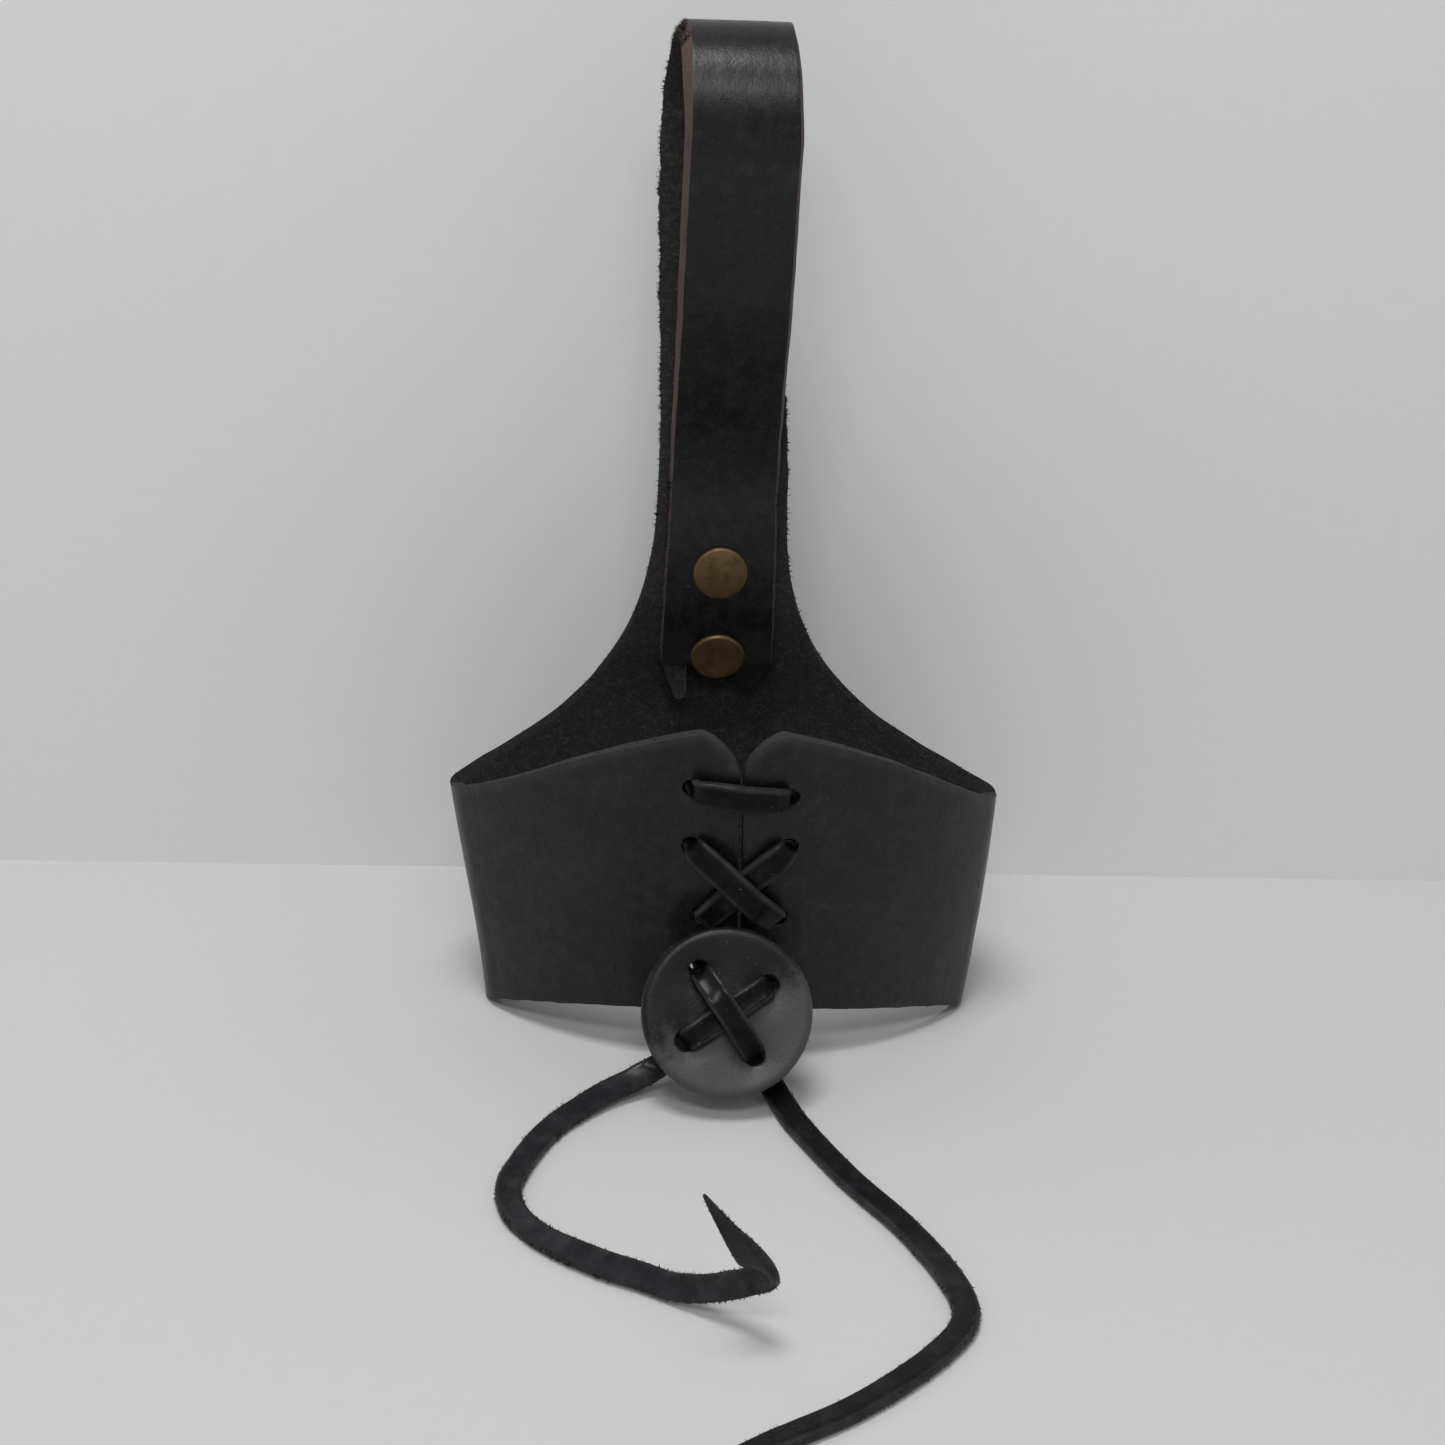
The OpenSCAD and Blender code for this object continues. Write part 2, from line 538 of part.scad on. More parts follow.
module rivet_post(z) {
    color(brass_colour)
        translate(place)
            riveted(z) {
                translate([0, 0, -stack_t / 2 - seat_gap]) {
                    rotate([180, 0, 0]) dome(rivet_base_h);
                    cylinder(d = rivet_post_d, h = stack_t + socket_depth);
                }
            }
}

module rivet_cap_upper() { rivet_cap(rivet_z); }
module rivet_post_upper() { rivet_post(rivet_z); }
module rivet_cap_lower() { rivet_cap(lower_rivet_z); }
module rivet_post_lower() { rivet_post(lower_rivet_z); }

module strand(route) {
    color(lace_colour) translate(place) lace(eased(route));
}

module lace_upper_left() { strand(upper_route(-1)); }
module lace_lower_left() { strand(lower_route(-1)); }
module lace_upper_right() { strand(upper_route(1)); }
module lace_lower_right() { strand(lower_route(1)); }
module lead_left() { strand(lead_route(-1)); }
module lead_right() { strand(lead_route(1)); }
module stitch_over() { strand(stitch_route(135, 1)); }
module stitch_under() { strand(stitch_route(45, 0)); }

module lock_button() {
    r = button_d / 2;
    e = button_t / 2;
    color(edge_colour)
        translate(place + button_at)
            rotate([90 - button_tilt, 0, 0])
                difference() {
                    rotate_extrude($fn = 96)
                        polygon(concat(
                            [[0, -e]],
                            [for (turn = [-90:15:90]) [r - e + e * cos(turn), e * sin(turn)]],
                            [[0, e]]));
                    for (turn = [45:90:315])
                        translate(concat(button_hole(turn), [0]))
                            cylinder(r = lace_hole_r, h = 3 * button_t, center = true);
                }
}

module tail(turn, points) {
    hole = button_hole(turn);
    color(lace_colour)
        translate(place)
            lace(tail_stations(tail_points(turn, points), button_dir([hole[1], -hole[0]])), tail_taper);
}

module lace_tail_left() { tail(225, left_tail); }
module lace_tail_right() { tail(315, right_tail); }

leather_back();
leather_wing_left();
leather_wing_right();
rivet_cap_upper();
rivet_post_upper();
rivet_cap_lower();
rivet_post_lower();
lace_upper_left();
lace_lower_left();
lace_upper_right();
lace_lower_right();
lead_left();
lead_right();
lock_button();
stitch_over();
stitch_under();
lace_tail_left();
lace_tail_right();
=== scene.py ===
"""Laced leather belt frog: formed leather, lacing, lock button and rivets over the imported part."""

import math
import random

import bmesh
import bpy
from bpy.props import FloatProperty, FloatVectorProperty, PointerProperty
from mathutils import Matrix, Vector, kdtree, noise
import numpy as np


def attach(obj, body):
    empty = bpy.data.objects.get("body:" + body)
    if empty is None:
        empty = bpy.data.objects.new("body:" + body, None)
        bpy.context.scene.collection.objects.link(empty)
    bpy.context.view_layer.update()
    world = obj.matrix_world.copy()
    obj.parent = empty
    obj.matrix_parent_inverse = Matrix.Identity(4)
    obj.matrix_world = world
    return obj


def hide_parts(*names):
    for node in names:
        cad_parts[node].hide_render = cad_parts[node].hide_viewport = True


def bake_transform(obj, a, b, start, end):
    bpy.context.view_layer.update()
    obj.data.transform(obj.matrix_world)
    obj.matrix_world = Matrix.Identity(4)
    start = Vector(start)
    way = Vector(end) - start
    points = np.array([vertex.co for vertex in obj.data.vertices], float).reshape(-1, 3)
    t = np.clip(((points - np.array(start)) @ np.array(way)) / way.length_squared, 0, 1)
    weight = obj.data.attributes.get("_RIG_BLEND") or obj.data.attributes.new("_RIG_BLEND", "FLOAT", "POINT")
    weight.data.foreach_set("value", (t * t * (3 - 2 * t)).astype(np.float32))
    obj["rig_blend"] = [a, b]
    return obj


bl_info = {
    "name": "Laced Leather Belt Frog",
    "version": (1, 0, 0),
    "blender": (4, 5, 0),
    "location": "View3D > Sidebar > Frog",
    "description": "Builds a black leather belt frog with its rivets, lacing and lock button",
    "category": "Mesh",
}

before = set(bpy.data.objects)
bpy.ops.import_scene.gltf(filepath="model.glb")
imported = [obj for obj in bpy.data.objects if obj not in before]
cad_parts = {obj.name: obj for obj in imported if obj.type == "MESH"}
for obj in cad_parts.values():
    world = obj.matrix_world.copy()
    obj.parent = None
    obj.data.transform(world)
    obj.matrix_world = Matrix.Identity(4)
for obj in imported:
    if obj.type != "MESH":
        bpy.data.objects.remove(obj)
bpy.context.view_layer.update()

# Unseeded, the noise vectors differ from run to run
NOISE_SEED = 5

# Finishes of a leather sheet, by material index
GRAIN, FLESH, EDGE = 0, 1, 2


def size(default, text):
    return FloatProperty(description=text, default=default, min=0.0, unit="LENGTH", subtype="DISTANCE",
                         precision=4)


def turn(default, text):
    return FloatProperty(description=text, default=math.radians(default), unit="ROTATION", subtype="ANGLE")


def tone(default, text):
    return FloatVectorProperty(description=text, default=default, size=3, min=0.0, max=1.0, subtype="COLOR")


class FrogSizes(bpy.types.PropertyGroup):
    leather: size(0.003, "Thickness of the leather")
    ring_bottom: size(0.1106, "Outer width of the ring at its bottom edge")
    ring_top: size(0.1232, "Outer width of the ring at the tops of its side bends")
    side_height: size(0.054, "Height of the ring at its side bends")
    back_depth: size(0.033, "Outer depth of the ring's back half")
    front_depth: size(0.033, "Outer depth of the ring's front half")
    depth_taper: size(0.0035, "How much shallower each half is at the floor")
    bend_radius: size(0.0095, "Outer radius of the side bends")
    front_lift: size(0.014, "Rise of the bottom edge towards the seam")
    front_rise: size(0.030, "Rise of the top edge towards the seam")
    wing_corner: size(0.0105, "Drop of each wing's upper corner at the seam")
    corner_reach: size(0.0082, "Reach of the rounding of each wing's upper corner")
    seam_gap: size(0.0008, "Gap between the two wings")
    strap_width: size(0.0246, "Width of the strap's front run and tip")
    fold_width: size(0.0245, "Width of the strap over the fold")
    root_width: size(0.029, "Width of the strap where it leaves the panel")
    root_height: size(0.116, "Height at which the flare runs into the strap")
    loop_depth: size(0.034, "Outer depth of the belt loop")
    loop_height: size(0.2222, "Height of the loop's top")
    fold_rise: size(0.0200, "Height of the fold above the loop's two runs")
    loop_lean: size(0.0045, "How far the strap leans back up to the fold")
    loop_skew: size(0.0044, "Sideways offset of the loop's back run at the fold")
    loop_aside: size(0.0011, "Shift of the loop's front run to the left at the fold")
    panel_inset: size(0.0075, "How far the panel comes forward up to the upper rivet")
    strap_drift: size(0.0045, "Sideways drift of the strap from the ring's middle")
    tip_flare: size(0.0008, "How much wider the strap is on each side at its tip")
    tip_below: size(0.0103, "Distance from the lower rivet to the points of the strap's tip")
    tip_bevel: size(0.0061, "Rise from the tip's points to the strap's sides")
    tip_notch: size(0.0063, "Depth of the notch between the tip's points")
    rivet_height: size(0.0982, "Height of the upper rivet")
    rivet_pitch: size(0.0205, "Distance between the rivets")
    rivet_width: size(0.0123, "Diameter of the rivet caps")
    cap_dome: size(0.0018, "Height of the front cap")
    base_dome: size(0.0016, "Height of the rear base")
    post_width: size(0.004, "Diameter of the rivet posts")
    lace_width: size(0.0055, "Width of the flat lace")
    lace_thick: size(0.0022, "Thickness of the flat lace")
    hole_inset: size(0.0106, "Distance of the lace holes from the seam")
    hole_radius: size(0.0021, "Radius of the punched lace holes")
    lace_rows: FloatVectorProperty(
        description="Heights of the rows of lace holes, from the top",
        default=(0.0681, 0.0550, 0.0377, 0.0241), size=4, min=0.0, unit="LENGTH", precision=4)
    bar_slant: size(0.0009, "How much the top row of lace holes falls to the right of the seam")
    row_step: size(0.0020, "How much closer to the seam the two lower rows of lace holes are")
    button_width: size(0.037, "Diameter of the lock button")
    button_thick: size(0.004, "Thickness of the lock button")
    button_reach: size(0.0108, "Distance of the button's holes from its centre")
    button_turn: turn(11, "Clockwise turn of the button, seen from the front")
    button_tilt: turn(29, "Backward tilt of the button's face")
    button_height: size(0.0216, "Height of the button's centre")
    button_gap: size(0.0145, "Distance of the button in front of the ring")
    button_aside: size(0.0032, "How far the button hangs to the left of the seam")
    edge_round: size(0.0006, "Rounding of the leather's cut edges")
    fray: size(0.0012, "Length of the longest loose fibres on cut edges")


class FrogFinish(bpy.types.PropertyGroup):
    grain: tone((0.0030, 0.0029, 0.0031), "Dyed grain side of the leather")
    grain_worn: tone((0.030, 0.0285, 0.030), "Rubbed places on the grain side")
    flesh: tone((0.0175, 0.0169, 0.0169), "Dyed flesh side of the leather")
    flesh_nap: tone((0.076, 0.073, 0.071), "Raised fibres on the flesh side")
    edge: tone((0.0085, 0.0078, 0.0080), "Dye on the cut edges")
    edge_bare: tone((0.118, 0.080, 0.071), "Undyed fibres on the cut edges")
    fibre: tone((0.014, 0.0115, 0.011), "Fibres that stand on the cut edges")
    lace: tone((0.0030, 0.0027, 0.0030), "Dyed face of the lace")
    # Also the painted highlight along the lace's edges.
    lace_worn: tone((0.050, 0.046, 0.052), "Rubbed edges of the lace")
    button: tone((0.0095, 0.0092, 0.0096), "Dyed face of the button")
    # Also the painted light on the button's lower right.
    button_worn: tone((0.056, 0.055, 0.058), "Rubbed places on the button")
    rim: tone((0.055, 0.022, 0.018), "Dye on the button's cut edge")
    rim_bare: tone((0.150, 0.060, 0.047), "Undyed fibres on the button's cut edge")
    brass: tone((0.190, 0.125, 0.062), "Antique brass of the rivets")
    patina: tone((0.085, 0.056, 0.030), "Dark patina on the brass")
    # Also the colour of the painted highlight along the wings' top edges.
    dust: tone((0.17, 0.16, 0.155), "Pale specks of dust and lint")
    floor: tone((0.60, 0.60, 0.60), "Paper that the frog stands on")
    wall: tone((0.74, 0.74, 0.74), "Paper behind the frog")


def smooth(u):
    c = min(1.0, max(0.0, u))
    return c * c * (3 - 2 * c)


def rate(z, low, high):
    return min(1.0, max(0.0, (z - low) / (high - low)))


def ramp(z, low, high):
    return (high - low) * rate(z, low, high) ** 2 / 2 + max(0.0, z - high)


def mixed(a, b, u):
    return a + (b - a) * u


def stray(along, wave, seed):
    """A slow random value from -1 to 1 along an edge."""
    return noise.noise(Vector((along / wave, seed * 3.7, seed * 1.3)))


class Form:
    """Where the leather, lace and button lie, worked out from the sizes, in metres."""

    skin_gap = 0.0003
    layer_gap = 0.0002
    seat_gap = 0.00006
    flare_power = 2.3
    rise_power = 1.5
    rise_straight = 0.3
    seam_hold = 0.5
    pull = 0.0007
    corner_power = 1.35
    tip_spread = 0.55
    strip_drop = 0.0018
    ease_reach = 0.0019
    split_height = 0.070
    flex_reach = 0.014
    root_rows, back_rows, fold_rows, front_rows = 40, 70, 40, 110
    fold_at = root_rows + back_rows
    front_at = fold_at + fold_rows
    strip_edge = 0.56
    skive_left, skive_right, skive_low = 0.0013, 0.0009, 0.45
    bend_share, seam_crowd = 0.24, 1.12
    crossing_width, sheath_share = 1.12, 0.86

    def __init__(self, sizes):
        for name in FrogSizes.__annotations__:
            setattr(self, name, getattr(sizes, name))
        self.half = self.leather / 2
        self.bend = self.bend_radius - self.half
        self.strap_half = self.strap_width / 2
        self.fold_half = self.fold_width / 2
        self.root_half = self.root_width / 2
        self.lower_rivet = self.rivet_height - self.rivet_pitch
        self.tip_z = self.lower_rivet - self.tip_below
        self.tip_base = self.tip_z + max(self.tip_bevel, self.tip_notch) + 0.0006
        self.strip_end = self.tip_z - 3 * self.strip_drop
        self.fold_r = (self.loop_depth - self.leather) / 2
        self.spring_z = self.loop_height - self.fold_rise - self.half
        self.part_z = self.rivet_height + self.rivet_width / 2 + 3 * self.leather
        self.stack = 2 * self.leather + self.layer_gap
        self.lace_lift = self.half + self.skin_gap + self.lace_thick / 2
        flat = self.rivet_width / 2 + 0.0005
        self.lower_from, self.lower_to = self.lower_rivet - flat, self.lower_rivet + flat
        self.upper_from, self.lean_from = self.rivet_height - flat, self.rivet_height + flat
        self.inset_slope = self.panel_inset / (
            (self.upper_from + self.lower_to - self.lower_from - self.side_height) / 2)
        self.flare_edge = self.half_width(self.side_height) + self.half
        self.stitch_back = self.button_thick / 2 + 0.001
        self.lead_back = self.stitch_back + self.skin_gap + 0.0002
        self.stitch_lift = self.button_thick / 2 + self.skin_gap + self.lace_thick / 2
        self.cross_z = (self.row_z(2) + self.row_z(3)) / 2
        self.button_at = Vector((
            self.seam_x(self.button_height) - self.button_aside,
            -self.front_b(self.button_height) - self.half - self.button_gap, self.button_height))
        self.button_up = Vector((0, math.sin(self.button_tilt), math.cos(self.button_tilt)))
        self.button_out = Vector((0, -math.cos(self.button_tilt), math.sin(self.button_tilt)))
        reach = (self.button_gap + self.half + self.front_b(self.button_height)
                 + (self.button_width - self.button_thick) / 2 * math.sin(self.button_tilt)
                 + self.button_thick / 2)
        self.place = Vector((-self.drift(self.side_height), (reach - self.back_depth) / 2, 0))

    # Ring
    def half_width(self, z):
        return (self.ring_bottom / 2 - self.half
                + (self.ring_top - self.ring_bottom) / 2 * z / self.side_height)

    def front_b(self, z):
        return self.front_depth - self.half - self.depth_taper * (1 - z / self.side_height)

    def back_b(self, z):
        return self.back_depth - self.half - self.depth_taper * (1 - min(1.0, z / self.side_height)) ** 2

    def arc_radius(self, a, b):
        return ((a - self.bend) ** 2 + b * b - self.bend ** 2) / (2 * (b - self.bend))

    def meet(self, a, b):
        return math.atan2(self.arc_radius(a, b) - b, a - self.bend)

    def bend_point(self, angle, a, off):
        r = self.bend + off
        return a - self.bend + r * math.cos(angle), r * math.sin(angle)

    def arc_point(self, x, a, b, off):
        r = self.arc_radius(a, b)
        angle = math.acos(x / r)
        return (r + off) * math.cos(angle), b - r + (r + off) * math.sin(angle)

    def arc_depth(self, x, a, b):
        r = self.arc_radius(a, b)
        return b - r + math.sqrt(r * r - x * x)

    def drift(self, z):
        return -self.strap_drift * smooth(z / self.rivet_height)

    # Back panel
    def panel_y(self, z):
        if z <= self.side_height:
            return self.back_b(z)
        return (self.back_b(self.side_height)
                - self.inset_slope * (ramp(z, self.side_height, self.lower_from)
                                      - ramp(z, self.lower_to, self.upper_from))
                + self.loop_lean * smooth((z - self.lean_from) / (self.spring_z - self.lean_from)))

    def panel_rate(self, z):
        step = 0.0002
        return (self.panel_y(z + step) - self.panel_y(z - step)) / (2 * step) if z > self.side_height else 0.0

    def slant(self, z):
        return math.hypot(1, self.panel_rate(z))

    def flatness(self, z):
        return 1 - smooth((z - self.side_height) / (self.root_height - self.side_height))

    def flare_x(self, z):
        span = (self.root_height - z) / (self.root_height - self.side_height)
        return self.flare_edge - (self.flare_edge - self.root_half) * (
            1 - span ** self.flare_power) ** (1 / self.flare_power)

    def flare_z(self, x):
        span = min(1.0, max(0.0, (self.flare_edge - x) / (self.flare_edge - self.root_half)))
        return self.root_height - (self.root_height - self.side_height) * (
            1 - span ** self.flare_power) ** (1 / self.flare_power)

    def panel_plan(self, x, z, off):
        """Plan of the panel at a distance x from its middle."""
        if x <= self.strap_half:
            return x, self.back_b(z) + off
        a = self.half_width(z) - self.strap_half
        px, py = self.arc_point(x - self.strap_half, a, self.back_b(z), off)
        return px + self.strap_half, py

    def panel_bend(self, share, z, off):
        """Plan of the panel's side bend, from its arc at 0 to the side line at 1."""
        a, b = self.half_width(z) - self.strap_half, self.back_b(z)
        px, py = self.bend_point(self.meet(a, b) * (1 - share), a, off)
        return px + self.strap_half, py

    def panel_far(self, z):
        a, b = self.half_width(z) - self.strap_half, self.back_b(z)
        return self.arc_radius(a, b) * math.cos(self.meet(a, b)) + self.strap_half

    def raised(self, low, z, off):
        """A plan point of the panel, carried up to z."""
        if z <= self.side_height:
            return low
        mid = self.back_b(self.side_height) + off
        return low[0], self.panel_y(z) + off * self.slant(z) - self.flatness(z) * (mid - low[1])

    # Strap
    def front_y(self, z):
        return (self.panel_y(z) - (self.leather + self.layer_gap) * self.slant(z)
                - (2 * self.fold_r - self.leather - self.layer_gap) * self.parting(z))

    def parting(self, z):
        return smooth((z - self.part_z) / (self.spring_z - self.part_z))

    def tip_half(self, z):
        return self.strap_half + self.tip_flare * (1 - smooth((z - self.tip_base) / 0.05))

    def tip_end(self, u):
        """Height of the swallow-tailed end, at a share of the strap's half width."""
        if u > self.tip_spread:
            return self.tip_z + self.tip_bevel * (u - self.tip_spread) / (1 - self.tip_spread)
        return self.tip_z + self.tip_notch * (1 - (u / self.tip_spread) ** 1.2)

    def strap_rows(self):
        """Rows of the strap from the panel to the tip: x, y, z, offset directions in y and z, half width."""
        rows = []
        for i in range(self.root_rows + 1):
            z = mixed(self.split_height, self.root_height, i / self.root_rows)
            rows.append((self.drift(z), None, z, 1, 0, self.flare_x(z)))
        for i in range(1, self.back_rows + 1):
            z = mixed(self.root_height, self.spring_z, i / self.back_rows)
            half = mixed(self.root_half, self.fold_half, i / self.back_rows)
            rows.append((self.drift(z) - self.loop_skew * self.parting(z), self.panel_y(z), z,
                         self.slant(z), 0, half))
        for i in range(1, self.fold_rows):
            angle = math.pi * i / self.fold_rows
            out = Vector((math.cos(angle) * self.fold_rise, math.sin(angle) * self.fold_r)).normalized()
            aside = mixed(self.loop_skew, self.loop_aside, i / self.fold_rows)
            rows.append((self.drift(self.spring_z) - aside,
                         self.panel_y(self.spring_z) - self.fold_r * (1 - math.cos(angle)),
                         self.spring_z + self.fold_rise * math.sin(angle), *out, self.fold_half))
        for i in range(self.front_rows + 1):
            z = mixed(self.spring_z, self.tip_base, i / self.front_rows)
            rows.append((self.drift(z) - self.loop_aside * self.parting(z), self.front_y(z), z,
                         -self.slant(z), 0, mixed(self.tip_half(z), self.fold_half, self.parting(z))))
        return rows

    def on_side_line(self, face):
        """True where the panel and a wing run on into one another."""
        at = face.calc_center_median() - self.place
        return abs(at.y) < 0.0004 and abs(at.x) > self.ring_bottom / 3 and abs(face.normal.y) > 0.5

    # Wings
    def wing_plan(self, share, z, off):
        """Plan of a wing, from its side line at 0 over the bend to the seam at 1."""
        a, b = self.half_width(z), self.front_b(z)
        end, bent = self.meet(a, b), self.bend_share
        if share < bent:
            return self.bend_point(end * share / bent, a, off)
        far = self.arc_radius(a, b) * math.cos(end)
        along = ((1 - share) / (1 - bent)) ** self.seam_crowd
        return self.arc_point(mixed(self.seam_gap / 2, far, along), a, b, off)

    def wing_point(self, side, share, up, off):
        x, depth = self.wing_plan(share, self.side_height, 0)
        fore = depth / self.front_b(self.side_height)
        d = max(0.0, x - self.seam_gap / 2)
        cut = max(0.0, 1 - d / self.corner_reach)
        drop = self.wing_corner * (1 - (1 - cut ** self.corner_power) ** (1 / self.corner_power))
        ragged = smooth(share * 6)
        low = self.front_lift * fore + 0.00025 * ragged * stray(x, 0.004, 5 + side)
        rise = mixed(fore ** self.rise_power, 1 - x / self.half_width(self.side_height), self.rise_straight)
        high = (self.side_height + self.front_rise * rise - drop
                + 0.0002 * ragged * stray(x, 0.006, 9 + side))
        z = mixed(low, high, up)
        p = self.wing_plan(share, z, off)
        return Vector((side * p[0] + self.drift(z) * (1 - (1 - self.seam_hold) * fore), -p[1], z))

    # Lacing
    def row_z(self, row):
        return self.lace_rows[row - 1]

    def inset(self, row):
        return self.hole_inset - (self.row_step if row > 2 else 0.0)

    def face_y(self, x, z):
        return -self.arc_depth(x, self.half_width(z), self.front_b(z))

    def seam_x(self, z):
        return self.drift(z) * self.seam_hold

    def hole(self, side, row, lift=0.0, pull=0.0):
        """A lace hole's axis, at a lift in front of the leather's middle and a pull towards the seam."""
        x, z = self.inset(row) - pull, self.row_z(row) - (side * self.bar_slant if row == 1 else 0.0)
        return Vector((side * x + self.seam_x(z), self.face_y(x, z) - lift, z))

    def outside(self, side, row):
        return self.hole(side, row, self.lace_lift, self.pull)

    def inside(self, side, row):
        return self.hole(side, row, -self.lace_lift, self.pull)

    def over_seam(self, z, level):
        lift = self.lace_lift + self.skin_gap + level * (self.lace_thick + self.skin_gap)
        return Vector((self.seam_x(z), self.face_y(0, z) - lift, z))

    def strand_dir(self, fall):
        wide = self.inset(2) + self.inset(3) - 2 * self.pull
        return Vector((wide, 0, -fall * (self.row_z(2) - self.row_z(3)))).normalized()

    def across(self, side):
        """Level width direction of the lace at a hole."""
        r = self.arc_radius(self.half_width(self.cross_z), self.front_b(self.cross_z))
        s = self.hole_inset / r
        return Vector((math.sqrt(1 - s * s), side * s, 0))

    def upright(self):
        return Vector((0, -self.depth_taper / self.side_height, 1)).normalized()

    def slope(self, side):
        """Width direction of a lace that crosses the seam aslant."""
        lean = self.depth_taper / self.side_height
        along = self.strand_dir(1)
        return Vector((-side * along.z, -along.x * lean, along.x)).normalized()

    # Button
    def button_hole(self, degrees):
        angle = math.radians(degrees) - self.button_turn
        return Vector((math.cos(angle), math.sin(angle))) * self.button_reach

    def on_button(self, p, lift):
        return self.button_at + Vector((p[0], 0, 0)) + p[1] * self.button_up + lift * self.button_out

    def button_dir(self, x, y):
        return (Vector((x, 0, 0)) + y * self.button_up).normalized()


# Free lace tails: where they lie, counted from the lace's way out of the button, in millimetres
LEFT_TAIL = (
    (-1, 3, -4), (-4.5, 3.5, -8), (-10, 1.5, -10.5), (-18, -3.5, -12), (-28.5, -15, -13),
    (-35, -29, -13), (-37.5, -38.5, -13), (-36, -48, -13), (-30, -57.5, -13), (-19.5, -66.5, -13),
    (-9.5, -72.5, -12.5), (-2, -78, -10), (4, -83, -6), (8.5, -87, -2), (11, -90, 1.5),
    (8.5, -92.5, 6), (3, -94, 14), (-2, -94.5, 22))
RIGHT_TAIL = (
    (1, 3, -3.5), (3, 4.5, -7), (5, 2.5, -9.5), (6.5, -2, -10.5), (10, -13, -10.5),
    (18.5, -32.5, -10.5), (27.5, -49, -10.5), (33.5, -63.5, -10.5), (36.5, -75.5, -10.5),
    (35.5, -84, -10.5), (30, -92.5, -10.5), (21, -102, -10.5), (11, -110.5, -10.5),
    (1, -117, -10.5), (-10, -123.5, -10.5), (-20, -129, -10.5))


class Socket:
    """A value in a material, whose arithmetic adds Math nodes."""

    def __init__(self, finish, socket):
        self.finish, self.socket = finish, socket

    def math(self, operation, first, second):
        return self.finish.node("ShaderNodeMath", {"operation": operation}, {0: first, 1: second})

    def __add__(self, other):
        return self.math("ADD", self, other)

    def __radd__(self, other):
        return self.math("ADD", other, self)

    def __rsub__(self, other):
        return self.math("SUBTRACT", other, self)

    def __mul__(self, other):
        return self.math("MULTIPLY", self, other)


class Finish:
    """A material that is being made."""

    def __init__(self, name):
        self.material = bpy.data.materials.new(name)
        self.material.use_nodes = True
        self.tree = self.material.node_tree
        self.tree.nodes.clear()
        self.here = self.node("ShaderNodeTexCoord", out="Object")

    def node(self, kind, settings=None, sockets=None, out=0):
        """Adds a node, with its settings set first, and gives one of its outputs."""
        made = self.tree.nodes.new(kind)
        for key, value in (settings or {}).items():
            setattr(made, key, value)
        for key, value in (sockets or {}).items():
            if isinstance(value, Socket):
                self.tree.links.new(value.socket, made.inputs[key])
            else:
                made.inputs[key].default_value = value
        return Socket(self, made.outputs[out]) if made.outputs else made

    def cloud(self, grain, detail=4.0, rough=0.55, stretch=None):
        """Noise whose features are about one grain across."""
        at = self.here
        if stretch:
            at = self.node("ShaderNodeMapping", {}, {"Vector": at, "Scale": stretch})
        return self.node("ShaderNodeTexNoise", {}, {
            "Vector": at, "Scale": 1 / grain, "Detail": detail, "Roughness": rough})

    def cells(self, grain):
        return self.node("ShaderNodeTexVoronoi", {}, {"Vector": self.here, "Scale": 1 / grain})

    def between(self, value, low, high):
        """0 below low, 1 above high, and smooth in between."""
        return self.node("ShaderNodeMapRange", {"interpolation_type": "SMOOTHSTEP"},
                         {"Value": value, "From Min": low, "From Max": high})

    def tint(self, share, *colours):
        """Two colours, or sockets, mixed by a share."""
        a, b = [c if isinstance(c, Socket) else (*c, 1.0) for c in colours]
        return self.node("ShaderNodeMix", {"data_type": "RGBA"}, {0: share, 6: a, 7: b}, out=2)

    def mark(self, name):
        """A value that the mesh holds for each vertex."""
        return self.node("ShaderNodeAttribute", {"attribute_name": name}, out="Fac")

    def bump(self, height, depth, strength=1.0, onto=None):
        sockets = {"Height": height, "Distance": depth, "Strength": strength}
        if onto:
            sockets["Normal"] = onto
        return self.node("ShaderNodeBump", {}, sockets)

    def surface(self, **sockets):
        """Ends the material in a Principled shader."""
        names = {name.replace("_", " "): value for name, value in sockets.items()}
        shader = self.node("ShaderNodeBsdfPrincipled", {}, names)
        self.node("ShaderNodeOutputMaterial", {}, {"Surface": shader})
        return self.material


def kept(make):
    """A finish is made once, and then shared."""
    made = {}

    def once(looks):
        if make.__name__ not in made:
            made[make.__name__] = make(looks)
        return made[make.__name__]
    return once


